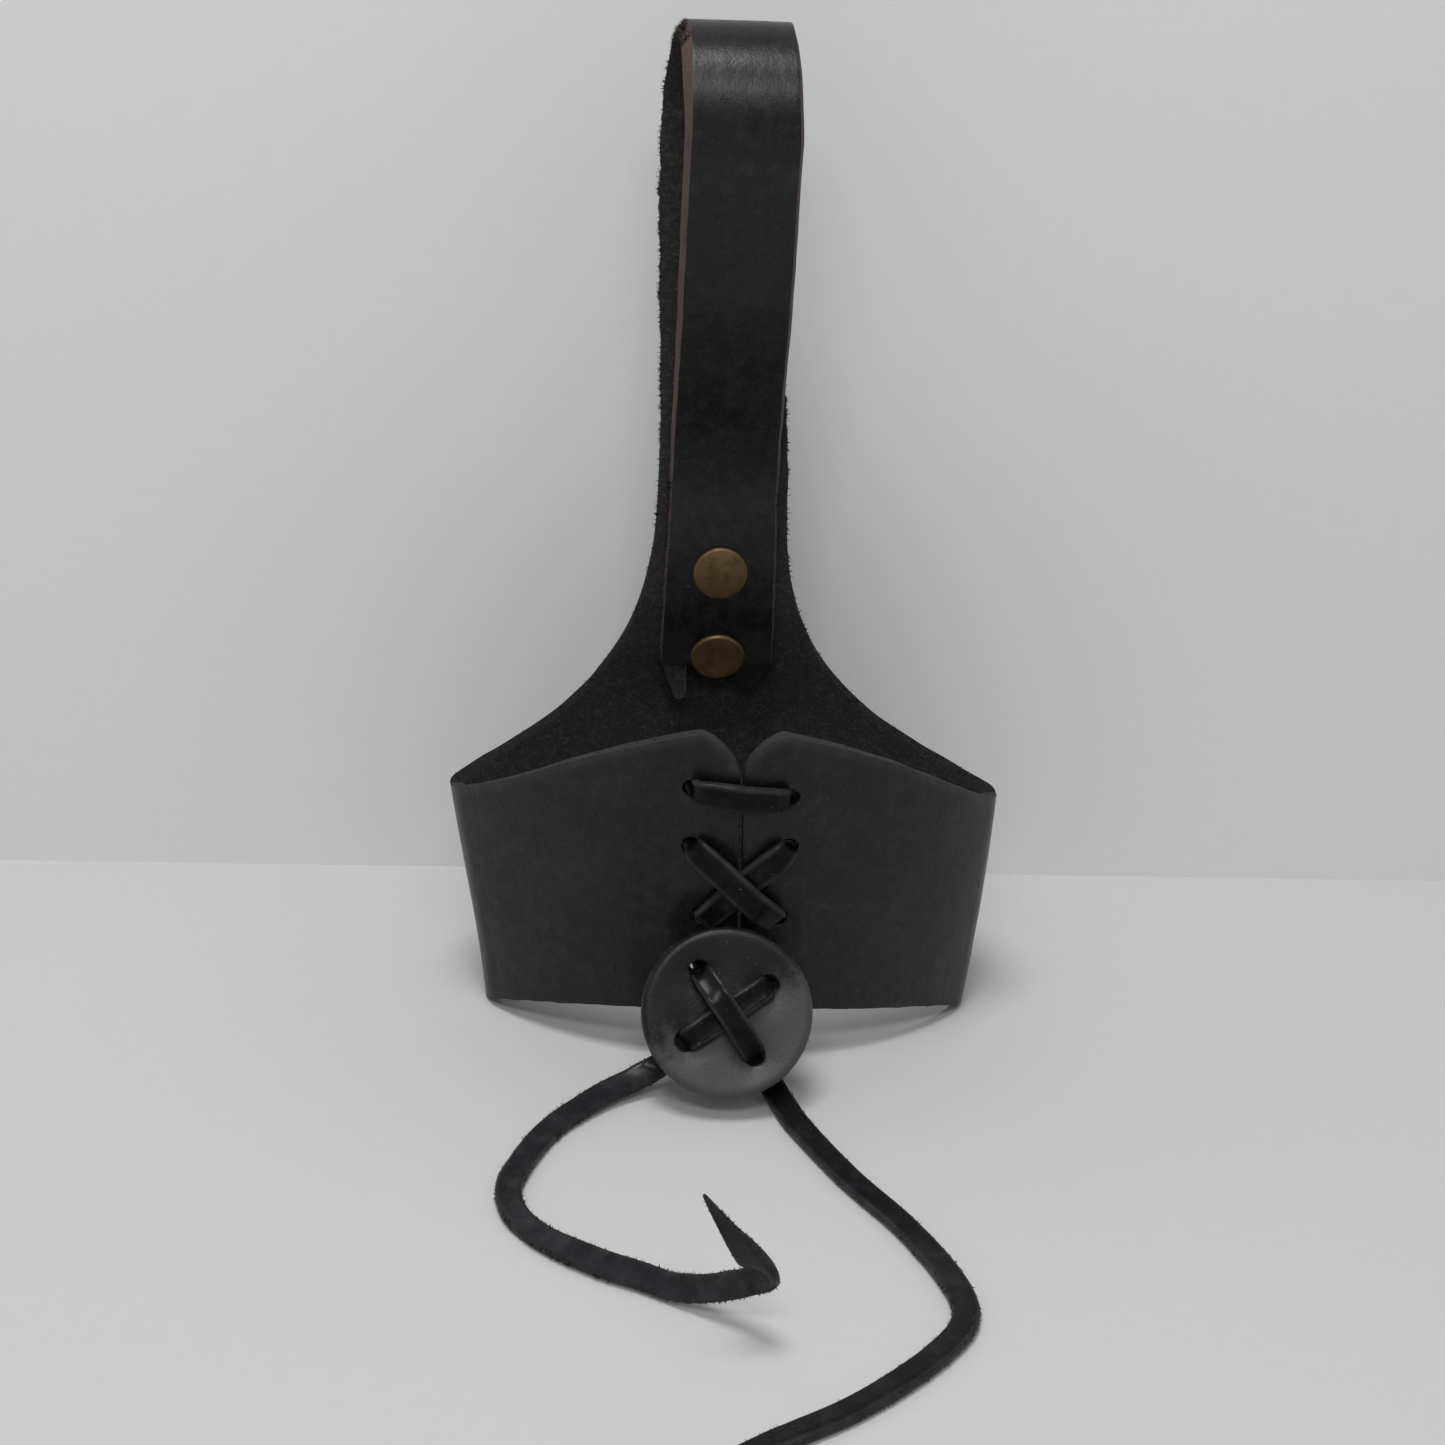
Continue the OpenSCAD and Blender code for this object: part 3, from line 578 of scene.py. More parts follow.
@kept
def grain_leather(looks):
    f = Finish("grain_leather")
    patches, pores = f.cloud(0.018, 6), f.cells(0.0008)
    streaks = f.cloud(0.0022, 5, 0.65, (1.0, 1.0, 0.14))
    mottle, fine = f.cloud(0.0034, 5, 0.68), f.cloud(0.0009, 4, 0.7)
    specks = f.between(f.cloud(0.0007, 2), 0.72, 0.77) * f.between(f.cloud(0.02, 2), 0.42, 0.62)
    wear_and_highlight = (f.between(patches, 0.42, 0.72) * 0.15 + f.between(mottle, 0.42, 0.72) * 0.3
            + f.between(fine, 0.46, 0.74) * 0.3 + f.between(streaks, 0.5, 0.8) * 0.12)
    # The vertex mark read here paints a pale highlight along the wings' top edges.
    rub = f.mark("rub")
    colour = f.tint(wear_and_highlight, looks.grain, looks.grain_worn)
    colour = f.tint(specks * 0.4 + rub * (0.05 + mottle * 0.14), colour, looks.dust)
    creases = f.bump(streaks + mottle, 0.0003, 0.3)
    normal = f.bump(pores * 0.3 + f.cloud(0.0004, 3) * 0.5, 0.0001, 0.3, creases)
    rough = 0.15 + patches * 0.12 + streaks * 0.26 + specks * 0.3
    return f.surface(Base_Color=colour, Roughness=rough, Normal=normal, Specular_IOR_Level=0.32)


@kept
def flesh_leather(looks):
    f = Finish("flesh_leather")
    nap = f.cloud(0.0008, 6, 0.68)
    tufts = f.between(f.cloud(0.0022, 5, 0.65), 0.48, 0.70)
    specks = f.between(f.cloud(0.0006, 2), 0.68, 0.73) * f.between(f.cloud(0.012, 2), 0.36, 0.56)
    raised = f.between(nap, 0.46, 0.74) * 0.6 + tufts * 0.3
    colour = f.tint(raised, looks.flesh, looks.flesh_nap)
    colour = f.tint(specks * 0.7, colour, looks.dust)
    normal = f.bump(nap + tufts * 0.5, 0.0007, 0.9)
    return f.surface(Base_Color=colour, Roughness=0.78 + nap * 0.2, Normal=normal, Specular_IOR_Level=0.22,
                     Sheen_Weight=0.06, Sheen_Roughness=0.5)


@kept
def cut_edge(looks):
    """The edges of the strap's front run are bare; the others are dyed."""
    f = Finish("cut_edge")
    fibres = f.cloud(0.0008, 6, 0.7)
    bare = f.mark("bare")
    bare = f.between(f.cloud(0.007, 4), 0.05, 0.40) * (0.04 + bare * 0.96)
    # The vertex mark read here paints a pale highlight on the wings' top cut edges.
    rub = f.mark("rub")
    colour = f.tint(bare * (0.52 + fibres * 0.6), looks.edge, looks.edge_bare)
    colour = f.tint(rub * (0.1 + fibres * 0.2), colour, looks.dust)
    return f.surface(Base_Color=colour, Roughness=0.60 + fibres * 0.3, Normal=f.bump(fibres, 0.0005, 0.7),
                     Specular_IOR_Level=0.14)


@kept
def loose_fibres(looks):
    f = Finish("loose_fibres")
    colour = f.tint(f.between(f.cloud(0.003, 3), 0.45, 0.75), looks.fibre, looks.edge_bare)
    return f.surface(Base_Color=colour, Roughness=0.8, Specular_IOR_Level=0.2)


@kept
def lace_leather(looks):
    f = Finish("lace_leather")
    rub, fibres = f.cloud(0.004, 5, 0.6), f.cloud(0.0007, 4, 0.6)
    rim = f.mark("rim")
    # The rim term paints a pale highlight along the lace's edges.
    wear_and_highlight = f.between(rub, 0.48, 0.74) * 0.1 + f.between(fibres, 0.58, 0.80) * 0.1 + rim * rub
    colour = f.tint(wear_and_highlight, looks.lace, looks.lace_worn)
    specks = f.between(f.cloud(0.0008, 2), 0.71, 0.76)
    colour = f.tint(specks * 0.5, colour, looks.dust)
    normal = f.bump(fibres + f.cells(0.0008) * 0.4, 0.00025, 0.5)
    return f.surface(Base_Color=colour, Roughness=0.40 + rub * 0.2, Normal=normal, Specular_IOR_Level=0.06,
                     Coat_Weight=rub * 0.36, Coat_Roughness=0.2)


@kept
def button_leather(looks):
    f = Finish("button_leather")
    mottle, pores = f.cloud(0.004, 6, 0.62), f.cells(0.0007)
    # The vertex mark read here is painted light: lighter to the lower right, darker along the stitches.
    rub = f.mark("rub")
    wear_and_sheen_share = f.between(mottle + rub * 0.6, 0.56, 1.02)
    colour = f.tint(wear_and_sheen_share, looks.button, looks.button_worn)
    specks = f.between(f.cloud(0.0008, 2), 0.71, 0.76)
    colour = f.tint(specks * 0.4, colour, looks.dust)
    creases = f.bump(f.cloud(0.004, 4), 0.0003, 0.3)
    normal = f.bump(pores * 0.5 + f.cloud(0.0005, 3) * 0.5, 0.0001, 0.4, creases)
    return f.surface(Base_Color=colour, Roughness=0.30 + mottle * 0.2, Normal=normal, Specular_IOR_Level=0.28)


@kept
def button_edge(looks):
    f = Finish("button_edge")
    fibres = f.cloud(0.0009, 5, 0.65)
    colour = f.tint(f.between(f.cloud(0.004, 4), 0.35, 0.65) * (0.5 + fibres * 0.7),
                    looks.rim, looks.rim_bare)
    return f.surface(Base_Color=colour, Roughness=0.5 + fibres * 0.3, Normal=f.bump(fibres, 0.0004, 0.6),
                     Specular_IOR_Level=0.4)


@kept
def antique_brass(looks):
    f = Finish("antique_brass")
    stain, pits = f.cloud(0.0026, 6, 0.6), f.cloud(0.0006, 4, 0.6)
    dark = f.between(stain, 0.36, 0.70)
    spots = f.between(pits, 0.66, 0.76)
    colour = f.tint(dark * 0.7, looks.brass, looks.patina)
    colour = f.tint(spots * 0.35, colour, looks.dust)
    normal = f.bump(pits, 0.00010, 0.4)
    rough = 0.54 + dark * 0.12 + spots * 0.2
    return f.surface(Base_Color=colour, Metallic=1.0 - spots * 0.5, Roughness=rough, Normal=normal)


def paper(name, colour, see_from_behind=False):
    """Plain matt paper; the wall is left out of views from behind it."""
    f = Finish(name)
    tooth = f.cloud(0.004, 4)
    shade = f.tint(f.between(tooth, 0.2, 0.8), [c * 0.985 for c in colour], colour)
    shader = f.node("ShaderNodeBsdfPrincipled", {}, {
        "Base Color": shade, "Roughness": 0.95, "Specular IOR Level": 0.1})
    if see_from_behind:
        clear = f.node("ShaderNodeBsdfTransparent")
        back = f.node("ShaderNodeNewGeometry", out="Backfacing")
        shader = f.node("ShaderNodeMixShader", {}, {0: back, 1: shader, 2: clear})
    f.node("ShaderNodeOutputMaterial", {}, {"Surface": shader})
    return f.material


def ordered(parts, at):
    """Sorts vertices or faces by place, since some operators leave them in any order."""
    for i, part in enumerate(sorted(parts, key=at)):
        part.index = i
    parts.sort()


def finished(name, bm, finishes):
    """An object from a bmesh, shaded smooth, at the origin."""
    bmesh.ops.recalc_face_normals(bm, faces=bm.faces)
    ordered(bm.verts, lambda v: tuple(v.co))
    ordered(bm.faces, lambda f: tuple(f.calc_center_median()))
    for face in bm.faces:
        face.smooth = True
    mesh = bpy.data.meshes.new(name)
    bm.to_mesh(mesh)
    bm.free()
    for finish in finishes:
        mesh.materials.append(finish)
    obj = bpy.data.objects.new(name, mesh)
    bpy.context.scene.collection.objects.link(obj)
    return obj


def carried(obj, body, slot, *nodes):
    """Lets a piece ride on a body and stand for CAD nodes."""
    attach(obj, body)
    if nodes:
        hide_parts(*nodes)


def sheet_finishes(looks):
    return [grain_leather(looks), flesh_leather(looks), cut_edge(looks)]


def relaxed(p):
    """Leather is never quite even: a point of it, shifted a little by long and short waves."""
    long, short = noise.noise_vector(p * 28), noise.noise_vector(p * 90)
    return p + long * 0.00035 + short * 0.00009


def formed_grid(bm, columns, rows, place, finish, cut=None):
    """A grid whose crossing (i, j) goes to place(i, j), without the cells that cut names."""
    made = bmesh.ops.create_grid(bm, x_segments=columns, y_segments=rows, size=0.5)["verts"]
    faces = list(dict.fromkeys(f for v in made for f in v.link_faces))
    gone = []
    for face in faces:
        face.material_index = finish
        at = face.calc_center_median()
        if cut and cut((at.x + 0.5) * columns, (at.y + 0.5) * rows):
            gone.append(face)
    for v in made:
        v.co = place(round((v.co.x + 0.5) * columns), round((v.co.y + 0.5) * rows))
    if finish == FLESH:
        bmesh.ops.reverse_faces(bm, faces=faces)
    if gone:
        bmesh.ops.delete(bm, geom=gone, context="FACES")


def round_hole(bm, at, axis, radius):
    """Draws the rim of a hole in a grid out to a circle."""
    for v in bm.verts:
        if v.is_boundary:
            along = (v.co - at).dot(axis)
            out = v.co - at - along * axis
            if abs(along) < 0.006 and out.length < 1.7 * radius:
                v.co = at + along * axis + out.normalized() * radius


def rims(bm):
    """The loops of open edges."""
    left = dict.fromkeys(e for e in bm.edges if e.is_boundary)
    loops = []
    while left:
        edge, _ = left.popitem()
        loop, reach = [edge], list(edge.verts)
        while reach:
            for e in reach.pop().link_edges:
                if e in left:
                    del left[e]
                    loop.append(e)
                    reach.extend(e.verts)
        loops.append(loop)
    return loops


def middle(edges):
    points = [v.co for e in edges for v in e.verts]
    return sum(points, Vector()) / len(points)


def closed_sheet(bm, rounding, open_at=None):
    """Joins the rims of a grain grid and a flesh grid, and rounds the cut edges."""
    loops = rims(bm)
    outer = [l for l in loops if l[0].link_faces[0].material_index == GRAIN]
    inner = [l for l in loops if l[0].link_faces[0].material_index == FLESH]
    for loop in outer:
        mate = min(inner, key=lambda l: (middle(l) - middle(loop)).length)
        inner.remove(mate)
        for face in bmesh.ops.bridge_loops(bm, edges=loop + mate)["faces"]:
            face.material_index = EDGE
    bmesh.ops.recalc_face_normals(bm, faces=bm.faces)
    if open_at:
        bmesh.ops.delete(bm, geom=[f for f in bm.faces if f.material_index == EDGE and open_at(f)],
                         context="FACES")
    cuts = ({GRAIN, EDGE}, {FLESH, EDGE})
    sharp = [e for e in bm.edges if {f.material_index for f in e.link_faces} in cuts]
    bmesh.ops.bevel(bm, geom=sharp, offset=rounding, affect="EDGES", segments=3, profile=0.5, material=-1,
                    clamp_overlap=True)


def cut_faces(bm):
    """The faces of a sheet's cut edges, without those that rest on the floor."""
    bm.normal_update()
    return [f for f in bm.faces if f.material_index == EDGE and f.calc_center_median().z > 0.003]


def frayed(faces, count, longest, seed):
    """Loose fibres that stand in tufts on some faces, clear of the floor."""
    dice = random.Random(seed)
    faces = sorted(faces, key=lambda f: tuple(f.calc_center_median()))
    shares = []
    for face in faces:
        tuft = noise.noise(face.calc_center_median() * 260 + Vector((seed, 0, 0)))
        shares.append(face.calc_area() * (0.15 + smooth(tuft * 2 + 0.3)))
    fibres, some, mesh = bmesh.new(), bmesh.new(), bpy.data.meshes.new("some_fibres")
    for i, face in enumerate(dice.choices(faces, shares, k=count), 1):
        a, b = dice.choice(face.verts).co, dice.choice(face.verts).co
        root = mixed(face.calc_center_median(), mixed(a, b, dice.random()), dice.random())
        lean = Vector([dice.gauss(0, 1) for _ in range(3)])
        aim = (face.normal + lean * 0.55).normalized()
        tall = longest * (0.25 + 0.75 * dice.random() ** 3)
        thick = mixed(0.00007, 0.00015, dice.random())
        if root.z + aim.z * tall > 0.0002:
            stand = aim.to_track_quat("Z", "Y").to_matrix().to_4x4()
            at = Matrix.Translation(root + aim * (tall / 2 - 0.00005)) @ stand
            bmesh.ops.create_cone(some, cap_ends=True, segments=3, radius1=thick, radius2=0.00001, depth=tall,
                                  matrix=at)
        if i % 60 == 0 or i == count:
            some.to_mesh(mesh)
            fibres.from_mesh(mesh)
            some.clear()
    some.free()
    bpy.data.meshes.remove(mesh)
    return fibres


def stations(corners, reach):
    """Points along a route of (point, width direction), with its corners eased."""
    step = 0.0011
    eased = [corners[0]]
    for (a, _), (b, wide), (c, _) in zip(corners, corners[1:], corners[2:]):
        d = min(reach, (a - b).length * 0.45, (c - b).length * 0.45)
        p, q = b + d * (a - b).normalized(), b + d * (c - b).normalized()
        for i in range(9):
            u = i / 8
            eased.append(((1 - u) ** 2 * p + 2 * u * (1 - u) * b + u * u * q, wide))
    eased.append(corners[-1])
    filled = []
    for (p, w), (q, x) in zip(eased, eased[1:]):
        parts = max(1, math.ceil((q - p).length / step))
        for i in range(parts):
            filled.append((mixed(p, q, i / parts), mixed(w, x, smooth(i / parts)).normalized()))
    filled.append(eased[-1])
    return filled


def pinched(route, holes, full=1.0):
    """Width shares along a lace, which is drawn together where it passes a hole."""
    least, reach = 0.76, 0.0028
    near = [min((p - h).length for h in holes) for p, _ in route]
    return [mixed(full, least, math.exp(-(d / reach) ** 2)) for d in near]


def swept_lace(route, width, thick, shares, seed):
    """A flat lace with raised, soft edges along stations of (point, width direction)."""
    bm = bmesh.new()
    rim = bm.verts.layers.float.new("rim")
    bmesh.ops.create_circle(bm, cap_ends=True, segments=26, radius=1)
    for v in bm.verts:
        x, y = (math.copysign(abs(c) ** power, c) / 2 for c, power in zip(v.co.xy, (0.42, 0.55)))
        # The rim mark also sets where a highlight is painted along the lace's edges.
        v[rim] = smooth((abs(x) - 0.3) / 0.15)
        v.co = (x, y * (0.72 + 0.28 * min(1.0, (x / 0.37) ** 2)), 0)
    bm.faces.ensure_lookup_table()
    end = bm.faces[0]
    before = Matrix.Identity(4)
    for i, (point, wide) in enumerate(route):
        along = (route[min(i + 1, len(route) - 1)][0] - route[max(i - 1, 0)][0]).normalized()
        wide = (wide - wide.dot(along) * along).normalized()
        w = width * shares[i] * (1 + 0.05 * stray(i * 0.001, 0.006, seed))
        t = thick * min(1.0, 0.4 + shares[i]) * (1 + 0.06 * stray(i * 0.001, 0.008, seed + 3))
        axes = (wide * w, along.cross(wide) * t, along, point)
        after = Matrix([(*axis, end_row) for axis, end_row in zip(axes, (0, 0, 0, 1))]).transposed()
        if i:
            made = bmesh.ops.extrude_face_region(bm, geom=[end])["geom"]
            if i > 1:
                bmesh.ops.delete(bm, geom=[end], context="FACES_ONLY")
            end = next(g for g in made if isinstance(g, bmesh.types.BMFace))
        bmesh.ops.transform(bm, matrix=after @ before.inverted(), verts=end.verts)
        before = after
    bm.normal_update()
    return bm


def tied_lace(form, looks, name, line, shares, seed, share=1.0):
    """A length of lace, at a share of its full section."""
    bm = swept_lace(line, form.lace_width * share, form.lace_thick * share, shares, seed)
    return finished("tied_" + name, bm, [lace_leather(looks)])


class FrogOperator:
    """What the frog's operators share."""

    bl_options = {"REGISTER", "UNDO"}

    def execute(self, context):
        noise.seed_set(NOISE_SEED)
        self.build(Form(context.scene.frog_sizes), context.scene.frog_finish)
        return {"FINISHED"}


class FROG_OT_stage(FrogOperator, bpy.types.Operator):
    """Sets up the paper floor and wall, the soft lights and the camera"""

    bl_idname = "frog.stage"
    bl_label = "Stage"

    eye = (-0.0551, -0.6102, 0.3425)
    paper_reach, wall_height, wall_gap = 3.0, 0.22, 0.065
    room_tint, room_light = (0.99, 0.99, 1.0, 1), 0.36
    lamps = (
        ("overhead_softbox", (-0.14, -0.28, 1.10), (0, -0.03, 0.03), (0.34, 0.34), 5.6),
        ("front_softbox", (-0.10, -0.90, 0.98), (0, 0.05, 0.15), (0.50, 0.16), 3.6))

    def build(self, form, looks):
        scene = bpy.context.scene
        scene.view_settings.view_transform = "Standard"
        self.camera(form)
        self.sheet("floor", paper("floor_paper", looks.floor), Matrix.Identity(4), self.paper_reach)
        at = Matrix.Translation((0, form.place.y + self.wall_gap, self.wall_height))
        upright = at @ Matrix.Rotation(math.radians(90), 4, "X")
        spread = Matrix.Diagonal((self.paper_reach, self.wall_height, 1, 1))
        self.sheet("wall", paper("wall_paper", looks.wall, True), upright @ spread, 1.0)
        world = bpy.data.worlds.new("soft_room")
        world.use_nodes = True
        background = world.node_tree.nodes["Background"]
        background.inputs["Color"].default_value = self.room_tint
        background.inputs["Strength"].default_value = self.room_light
        scene.world = world
        for lamp in self.lamps:
            self.lamp(*lamp)

    def camera(self, form):
        pitch, aside, roll = math.radians(24), math.radians(4.8), math.radians(3)
        level = math.cos(pitch)
        ahead = Vector((math.sin(aside) * level, math.cos(aside) * level, -math.sin(pitch)))
        right = Vector((math.cos(aside), -math.sin(aside), 0))
        up = right.cross(ahead)
        x, y = right * math.cos(roll) + up * math.sin(roll), up * math.cos(roll) - right * math.sin(roll)
        data = bpy.data.cameras.new("camera")
        data.angle = math.radians(27)
        data.clip_start, data.clip_end = 0.02, 20
        obj = bpy.data.objects.new("camera", data)
        at = form.place + Vector(self.eye)
        obj.matrix_world = Matrix(((*x, 0), (*y, 0), (*-ahead, 0), (*at, 1))).transposed()
        bpy.context.scene.collection.objects.link(obj)
        bpy.context.scene.camera = obj

    def sheet(self, name, finish, place, half):
        bm = bmesh.new()
        bmesh.ops.create_grid(bm, x_segments=1, y_segments=1, size=half, matrix=place)
        obj = finished(name, bm, [finish])

    def lamp(self, name, at, aim, spread, power):
        data = bpy.data.lights.new(name, "AREA")
        data.shape, data.energy = "RECTANGLE", power
        data.size, data.size_y = spread
        obj = bpy.data.objects.new(name, data)
        obj.location = at
        obj.rotation_mode = "QUATERNION"
        obj.rotation_quaternion = (Vector(aim) - Vector(at)).to_track_quat("-Z", "Y")
        bpy.context.scene.collection.objects.link(obj)


class FROG_OT_tails(FrogOperator, bpy.types.Operator):
    """Lays the two free tails of the lace on the floor"""

    bl_idname = "frog.tails"
    bl_label = "Lace tails"

    def build(self, form, looks):
        self.tail(form, looks, "lace_tail_left", 225, LEFT_TAIL, 0.135, 0.85, 2400)
        self.tail(form, looks, "lace_tail_right", 315, RIGHT_TAIL, 0.10, 0.0, 1000)

    def tail(self, form, looks, name, at_hole, lies, tip, stand, fuzz):
        """One tail, which turns from flat to standing on its edge by some share."""
        hole = form.button_hole(at_hole)
        leaves = form.on_button(hole, -form.stitch_back - form.layer_gap)
        points = [leaves - form.button_out * 0.001] + [leaves + Vector(q) * 0.001 for q in lies]
        line = [leaves] + self.curved(points)
        wide = form.button_dir(hole[1], -hole[0])
        ends = [(i / (len(line) - 1) - 1 + tip) / tip for i in range(len(line))]
        swell = [1 + 0.5 * stand * math.exp(-((u - 0.2) / 0.35) ** 2) for u in ends]
        shares = [s * (1 - 0.9 * max(0.0, u) ** 1.2) for s, u in zip(swell, ends)]
        route = []
        for i, p in enumerate(line):
            along = (line[min(i + 1, len(line) - 1)] - line[max(i - 1, 0)]).normalized()
            upright = stand * smooth((i / len(line) - 0.3) / 0.3)
            level = Vector((wide.x, wide.y, wide.z * mixed(0.88, 1.0, upright)))
            wide = (level - level.dot(along) * along).normalized()
            edge = along.cross(Vector((0.08, 0.91, -0.41)))
            edge = edge if edge.dot(wide) > 0 else -edge
            turned = wide = mixed(wide, edge, 0.2 * upright).normalized()
            low = (abs(turned.z) * form.lace_width * shares[i]
                   + abs(along.cross(turned).z) * form.lace_thick) / 2 + form.layer_gap
            at = p + form.place
            route.append((Vector((at.x, at.y, max(at.z, low))), turned))
        bm = swept_lace(route, form.lace_width, form.lace_thick, shares, at_hole)
        rim = bm.verts.layers.float["rim"]
        edges = [f for f in bm.faces if min(v[rim] for v in f.verts) > 0.9]
        fibres = frayed(edges, fuzz, form.fray * 0.7, at_hole)
        # Painted sheen: the whole tail is lightened through its rim mark, the standing left tail most.
        for v in bm.verts:
            v[rim] = max(0.35 + 0.5 * stand, v[rim])
        carried(finished("frayed_" + name, fibres, [loose_fibres(looks)]), "button", "lace_leather")
        obj = finished("free_" + name, bm, [lace_leather(looks)])
        carried(obj, "button", "lace_leather", name)
        run = sum((b[0] - a[0]).length for a, b in zip(route, route[1:]))

    def curved(self, p):
        """A smooth curve through points."""
        line = []
        for i in range(len(p) - 1):
            a, b, c, d = p[max(0, i - 1)], p[i], p[i + 1], p[min(len(p) - 1, i + 2)]
            for u in (0, 1 / 6, 2 / 6, 3 / 6, 4 / 6, 5 / 6):
                line.append(0.5 * (2 * b + u * (c - a) + u * u * (2 * a - 5 * b + 4 * c - d)
                                   + u ** 3 * (3 * b - a - 3 * c + d)))
        return line + [p[-1]]


class FROG_OT_back(FrogOperator, bpy.types.Operator):
    """Forms the back panel, which runs on into the belt loop"""

    bl_idname = "frog.back"
    bl_label = "Back panel and belt loop"

    inner, arc, bent, rows, tip = 30, 26, 20, 56, 9
    fibre_count = 4200

    def build(self, form, looks):
        bm = bmesh.new()
        strap = form.strap_rows()
        half = self.inner // 2 + self.arc + self.bent
        for off, finish in ((form.half, GRAIN), (-form.half, FLESH)):
            formed_grid(bm, 2 * half, self.rows,
                        lambda i, j: self.panel(form, i - half, j, off), finish)
            formed_grid(bm, self.inner, len(strap) - 1 + self.tip,
                        lambda i, j: self.strap(form, strap, i, j, off), finish)
        bmesh.ops.remove_doubles(bm, verts=bm.verts, dist=0.00002)
        closed_sheet(bm, form.edge_round, form.on_side_line)
        self.bare_front(bm, form)
        fibres = frayed(self.rough_edges(bm, form), self.fibre_count, form.fray, 11)
        carried(finished("formed_back", bm, sheet_finishes(looks)), "back", "body_leather", "leather_back")
        carried(finished("frayed_back", fibres, [loose_fibres(looks)]), "back", "body_leather")

    def rough_edges(self, bm, form):
        """The dyed edges, with the loop's back run and the torn strip counted more than once."""
        bare = bm.verts.layers.float["bare"]
        found = []
        for face in cut_faces(bm):
            at = face.calc_center_median() - form.place
            if self.on_strip(form, at):
                found += [face] * 4
            elif face.verts[0][bare] < 0.3:
                found += [face] * (2 if at.z > form.root_height else 1)
        return found

    def on_strip(self, form, at):
        """True on the torn strip at the strap's tip."""
        side = at.x - form.drift(at.z)
        return (at.z < form.tip_base - 0.001 + 0.0016 * stray(at.x, 0.0022, 3)
                and at.z > form.strip_end and -form.root_half < side < -form.strap_half * form.strip_edge
                and at.y < form.panel_y(at.z) - form.half)

    def bare_front(self, bm, form):
        """Marks the strap's front run, whose edges have no dye."""
        bare = bm.verts.layers.float.new("bare")
        for v in bm.verts:
            at = v.co - form.place
            if at.z > form.strip_end and abs(at.x - form.drift(at.z)) < form.root_half:
                v[bare] = max(smooth((form.panel_y(at.z) - at.y - form.half) / 0.001),
                              smooth((at.z - form.loop_height + 0.0065) / 0.002))
                if at.z < form.tip_base or self.on_strip(form, at):
                    v[bare] = 0.0
        for face in bm.faces:
            if self.on_strip(form, face.calc_center_median() - form.place) and face.material_index == GRAIN:
                face.material_index = FLESH

    def panel(self, form, c, j, off):
        reach, side = abs(c), 1 if c > 0 else -1
        inner = self.inner // 2
        joint = form.flare_x(form.split_height)
        bend = (reach - inner - self.arc) / self.bent
        if reach <= inner:
            x, top = joint * reach / inner, form.split_height
        else:
            x = mixed(joint, form.panel_far(form.side_height), min(1.0, (reach - inner) / self.arc))
            edge = x if bend <= 0 else form.panel_bend(bend, form.side_height, 0)[0]
            top = form.flare_z(edge) + 0.0003 * stray(edge * side, 0.005, 2) * min(1, (1 - max(0, bend)) * 2)
        z = top * j / self.rows
        base = min(z, form.side_height)
        if bend > 0:
            low = form.panel_bend(bend, base, off)
        elif reach <= inner:
            low = form.panel_plan(x, base, off)
        else:
            x = mixed(joint, form.panel_far(base), (reach - inner) / self.arc)
            low = form.panel_plan(x, base, off)
        px, py = form.raised(low, z, off)
        return relaxed(Vector((side * px + form.drift(z), py, z)) + form.place)

    def strap(self, form, rows, i, j, off):
        u = 2 * i / self.inner - 1
        if j >= len(rows):
            return relaxed(self.torn(form, u, (j - len(rows) + 1) / self.tip, off) + form.place)
        x, y, z, ny, nz, half = rows[j]
        if y is None:
            px, py = form.raised(form.panel_plan(abs(u) * half, form.side_height, off), z, off)
            return relaxed(Vector((math.copysign(px, u) + x, py, z)) + form.place)
        ragged = 0.00015 * stray(j * 0.0012, 0.006, 4 + (u > 0))
        past = j - form.fold_at
        if past < 0:
            ragged += 0.0005 * stray(j * 0.0012, 0.0021, 7 + (u > 0)) * min(1.0, (j - form.root_rows) / 20)
        if past > 0:
            over = smooth(past / 20) * (1 + 0.7 * math.sin(math.pi * past / form.fold_rows))
            front = mixed(form.skive_low, 1.0, form.parting(z))
            x += self.skived(form, u, off, over if j < form.front_at else front)
        return relaxed(Vector((x + u * (half + ragged), y + off * ny, z + off * nz)) + form.place)

    def skived(self, form, u, off, share):
        """The front run is cut at a slant, so that its grain side is narrower, most of all on the left."""
        if off < 0:
            return 0.0
        left, right = (smooth((side * u - 0.6) / 0.4) for side in (-1, 1))
        return form.skive_left * share * left - form.skive_right * min(1.0, 3 * share) * right

    def torn(self, form, u, share, off):
        """The strap's end: two points, of which the left one is a torn strip that curls forward."""
        past = -u - form.strip_edge
        strip = smooth(past / 0.06)
        rags = 0.0016 * stray(u * form.strap_half, 0.0011, 15) - form.strip_drop
        end = mixed(form.tip_end(max(0.0, u)), form.tip_z + rags, strip)
        z = mixed(form.tip_base, end, share)
        aside = strip * share * (0.0011 + 0.0032 * max(0.0, past))
        fall = (form.tip_base - z) / (form.tip_base - form.tip_z)
        curl = mixed(0.0012 * fall, 0.0020 * share * share, strip)
        x = form.drift(z) + u * form.tip_half(z) + self.skived(form, u, off, form.skive_low) + aside
        return Vector((x, form.front_y(z) - off * form.slant(z) - curl, z))


